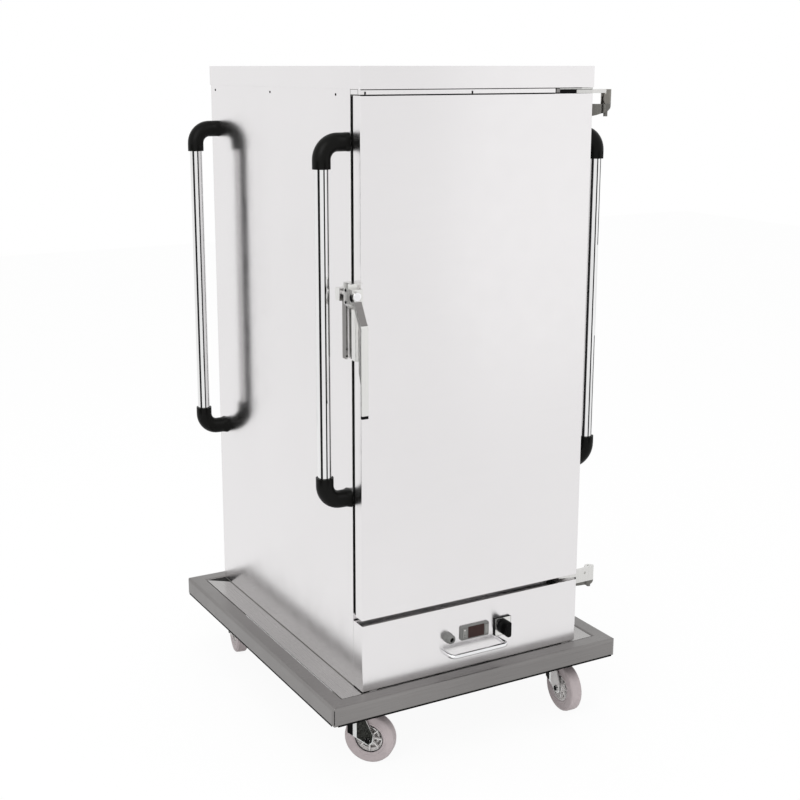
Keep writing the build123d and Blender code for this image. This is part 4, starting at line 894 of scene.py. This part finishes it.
def caster_trim(materials):
    """The dressing of all casters. The front-left fork and rim are painted black as shade, the others
    painted bright as lit.
    """
    for name in CASTERS:
        move = caster_frame(name)
        fork_trim(materials, name, move)
        wheel_trim(materials, name, move)


def seen_directly(tree):
    """1 for what the camera sees, straight or in metal and glass, and 0 for light falling on the object."""
    path = tree.nodes.new("ShaderNodeLightPath")
    first = maths(tree, "MAXIMUM", path.outputs["Is Camera Ray"], path.outputs["Is Glossy Ray"])
    return maths(tree, "MAXIMUM", first, path.outputs["Is Transmission Ray"])


def flat_square(name, half_x, half_y):
    """A flat rectangle about the origin, as a studio object without a material."""
    mesh = bmesh.new()
    corners = [(-1, -1), (1, -1), (1, 1), (-1, 1)]
    mesh.faces.new([mesh.verts.new((x * half_x, y * half_y, 0.0)) for x, y in corners])
    data = bpy.data.meshes.new(name)
    mesh.to_mesh(data)
    mesh.free()
    obj = bpy.data.objects.new(name, data)
    bpy.context.scene.collection.objects.link(obj)
    return obj


def make_floor():
    """The plain pale floor, which keeps the object's shadow."""
    floor = flat_square("studio_floor", FLOOR_HALF, FLOOR_HALF)
    material = bpy.data.materials.new("studio_floor_look")
    material.use_nodes = True
    tree = material.node_tree
    tree.nodes.clear()
    out = tree.nodes.new("ShaderNodeOutputMaterial")
    matte = tree.nodes.new("ShaderNodeBsdfDiffuse")
    matte.inputs["Color"].default_value = (*FLOOR_COLOUR, 1.0)
    glow = tree.nodes.new("ShaderNodeEmission")
    glow.inputs["Color"].default_value = WHITE
    glow.inputs["Strength"].default_value = 1.0
    share = maths(tree, "MULTIPLY", seen_directly(tree), FLOOR_SHOWN)
    mix = tree.nodes.new("ShaderNodeMixShader")
    tree.links.new(share, mix.inputs["Fac"])
    tree.links.new(matte.outputs["BSDF"], mix.inputs[1])
    tree.links.new(glow.outputs["Emission"], mix.inputs[2])
    tree.links.new(mix.outputs["Shader"], out.inputs["Surface"])
    floor.data.materials.append(material)


def make_world():
    """White surroundings where they are seen, and softer light for the object."""
    world = bpy.data.worlds.new("studio")
    bpy.context.scene.world = world
    world.use_nodes = True
    tree = world.node_tree
    tree.nodes.clear()
    out = tree.nodes.new("ShaderNodeOutputWorld")
    background = tree.nodes.new("ShaderNodeBackground")
    background.inputs["Color"].default_value = WHITE
    strength = tree.nodes.new("ShaderNodeMapRange")
    strength.inputs["To Min"].default_value = WORLD_LIGHT
    strength.inputs["To Max"].default_value = WORLD_WHITE
    tree.links.new(seen_directly(tree), strength.inputs["Value"])
    tree.links.new(strength.outputs["Result"], background.inputs["Strength"])
    tree.links.new(background.outputs["Background"], out.inputs["Surface"])


def aimed(place, aim, forward):
    """The placing of a studio object whose forward axis points at its aim."""
    turn = (Vector(aim) - Vector(place)).to_track_quat(forward, "Y")
    return Matrix.Translation(Vector(place)) @ turn.to_matrix().to_4x4()


def lamp(name, place, aim, width, height, watts):
    """A soft box aimed at a point."""
    light = bpy.data.lights.new(name, "AREA")
    light.shape = "RECTANGLE"
    light.size = width
    light.size_y = height
    light.energy = watts
    obj = bpy.data.objects.new(name, light)
    bpy.context.scene.collection.objects.link(obj)
    obj.matrix_world = aimed(place, aim, "-Z")
    return obj


def flags(name, x, y):
    """Narrow dark cards beside a chrome tube, seen in reflections alone, for its dark lines."""
    for number, (bearing, reach, width, low, high) in enumerate(FLAGS[name.split("_")[0]]):
        angle = math.radians(bearing)
        middle = (low + high) / 2
        place = (x + reach * math.cos(angle), y + reach * math.sin(angle), middle)
        flag_name = "flag_%s_%d" % (name, number)
        flag = flat_square(flag_name, width / 2, (high - low) / 2)
        flag.matrix_world = aimed(place, (x, y, middle), "Z")
        material, _, shader = new_material(flag_name + "_look")
        shader.inputs["Base Color"].default_value = (*FLAG_COLOUR, 1.0)
        shader.inputs["Roughness"].default_value = 0.9
        flag.data.materials.append(material)
        flag.visible_camera = False
        flag.visible_diffuse = False
        flag.visible_shadow = False


def make_light():
    """Soft studio light from the left, the front right and above, and dark flags for the chrome.

    The top lamp is kept out of mirror reflections, where it would clip the cap to white.
    """
    lamp("key", *KEY_LIGHT)
    lamp("fill", *FILL_LIGHT)
    top = lamp("top", *TOP_LIGHT)
    top.visible_glossy = False
    for name, (x, y) in TUBES.items():
        flags(name, x, y)


def make_camera():
    """The photograph's camera."""
    data = bpy.data.cameras.new("photo_camera")
    data.lens = CAMERA_LENS
    data.sensor_width = CAMERA_SENSOR
    data.sensor_fit = "HORIZONTAL"
    data.shift_x = CAMERA_SHIFT[0]
    data.shift_y = CAMERA_SHIFT[1]
    data.clip_end = CAMERA_REACH
    camera = bpy.data.objects.new("photo_camera", data)
    bpy.context.scene.collection.objects.link(camera)
    camera.location = CAMERA_PLACE
    camera.rotation_euler = (math.radians(90.0 - CAMERA_PITCH), 0.0, math.radians(-CAMERA_YAW))
    bpy.context.scene.camera = camera


bpy.context.scene.view_settings.view_transform = "Standard"
looks = make_materials()
dress_nodes(looks)
side_heads(looks)
lintel_trim(looks)
base_trim(looks)
hinge_trim(looks)
latch_trim(looks)
control_trim(looks)
caster_trim(looks)
make_floor()
make_world()
make_light()
make_camera()
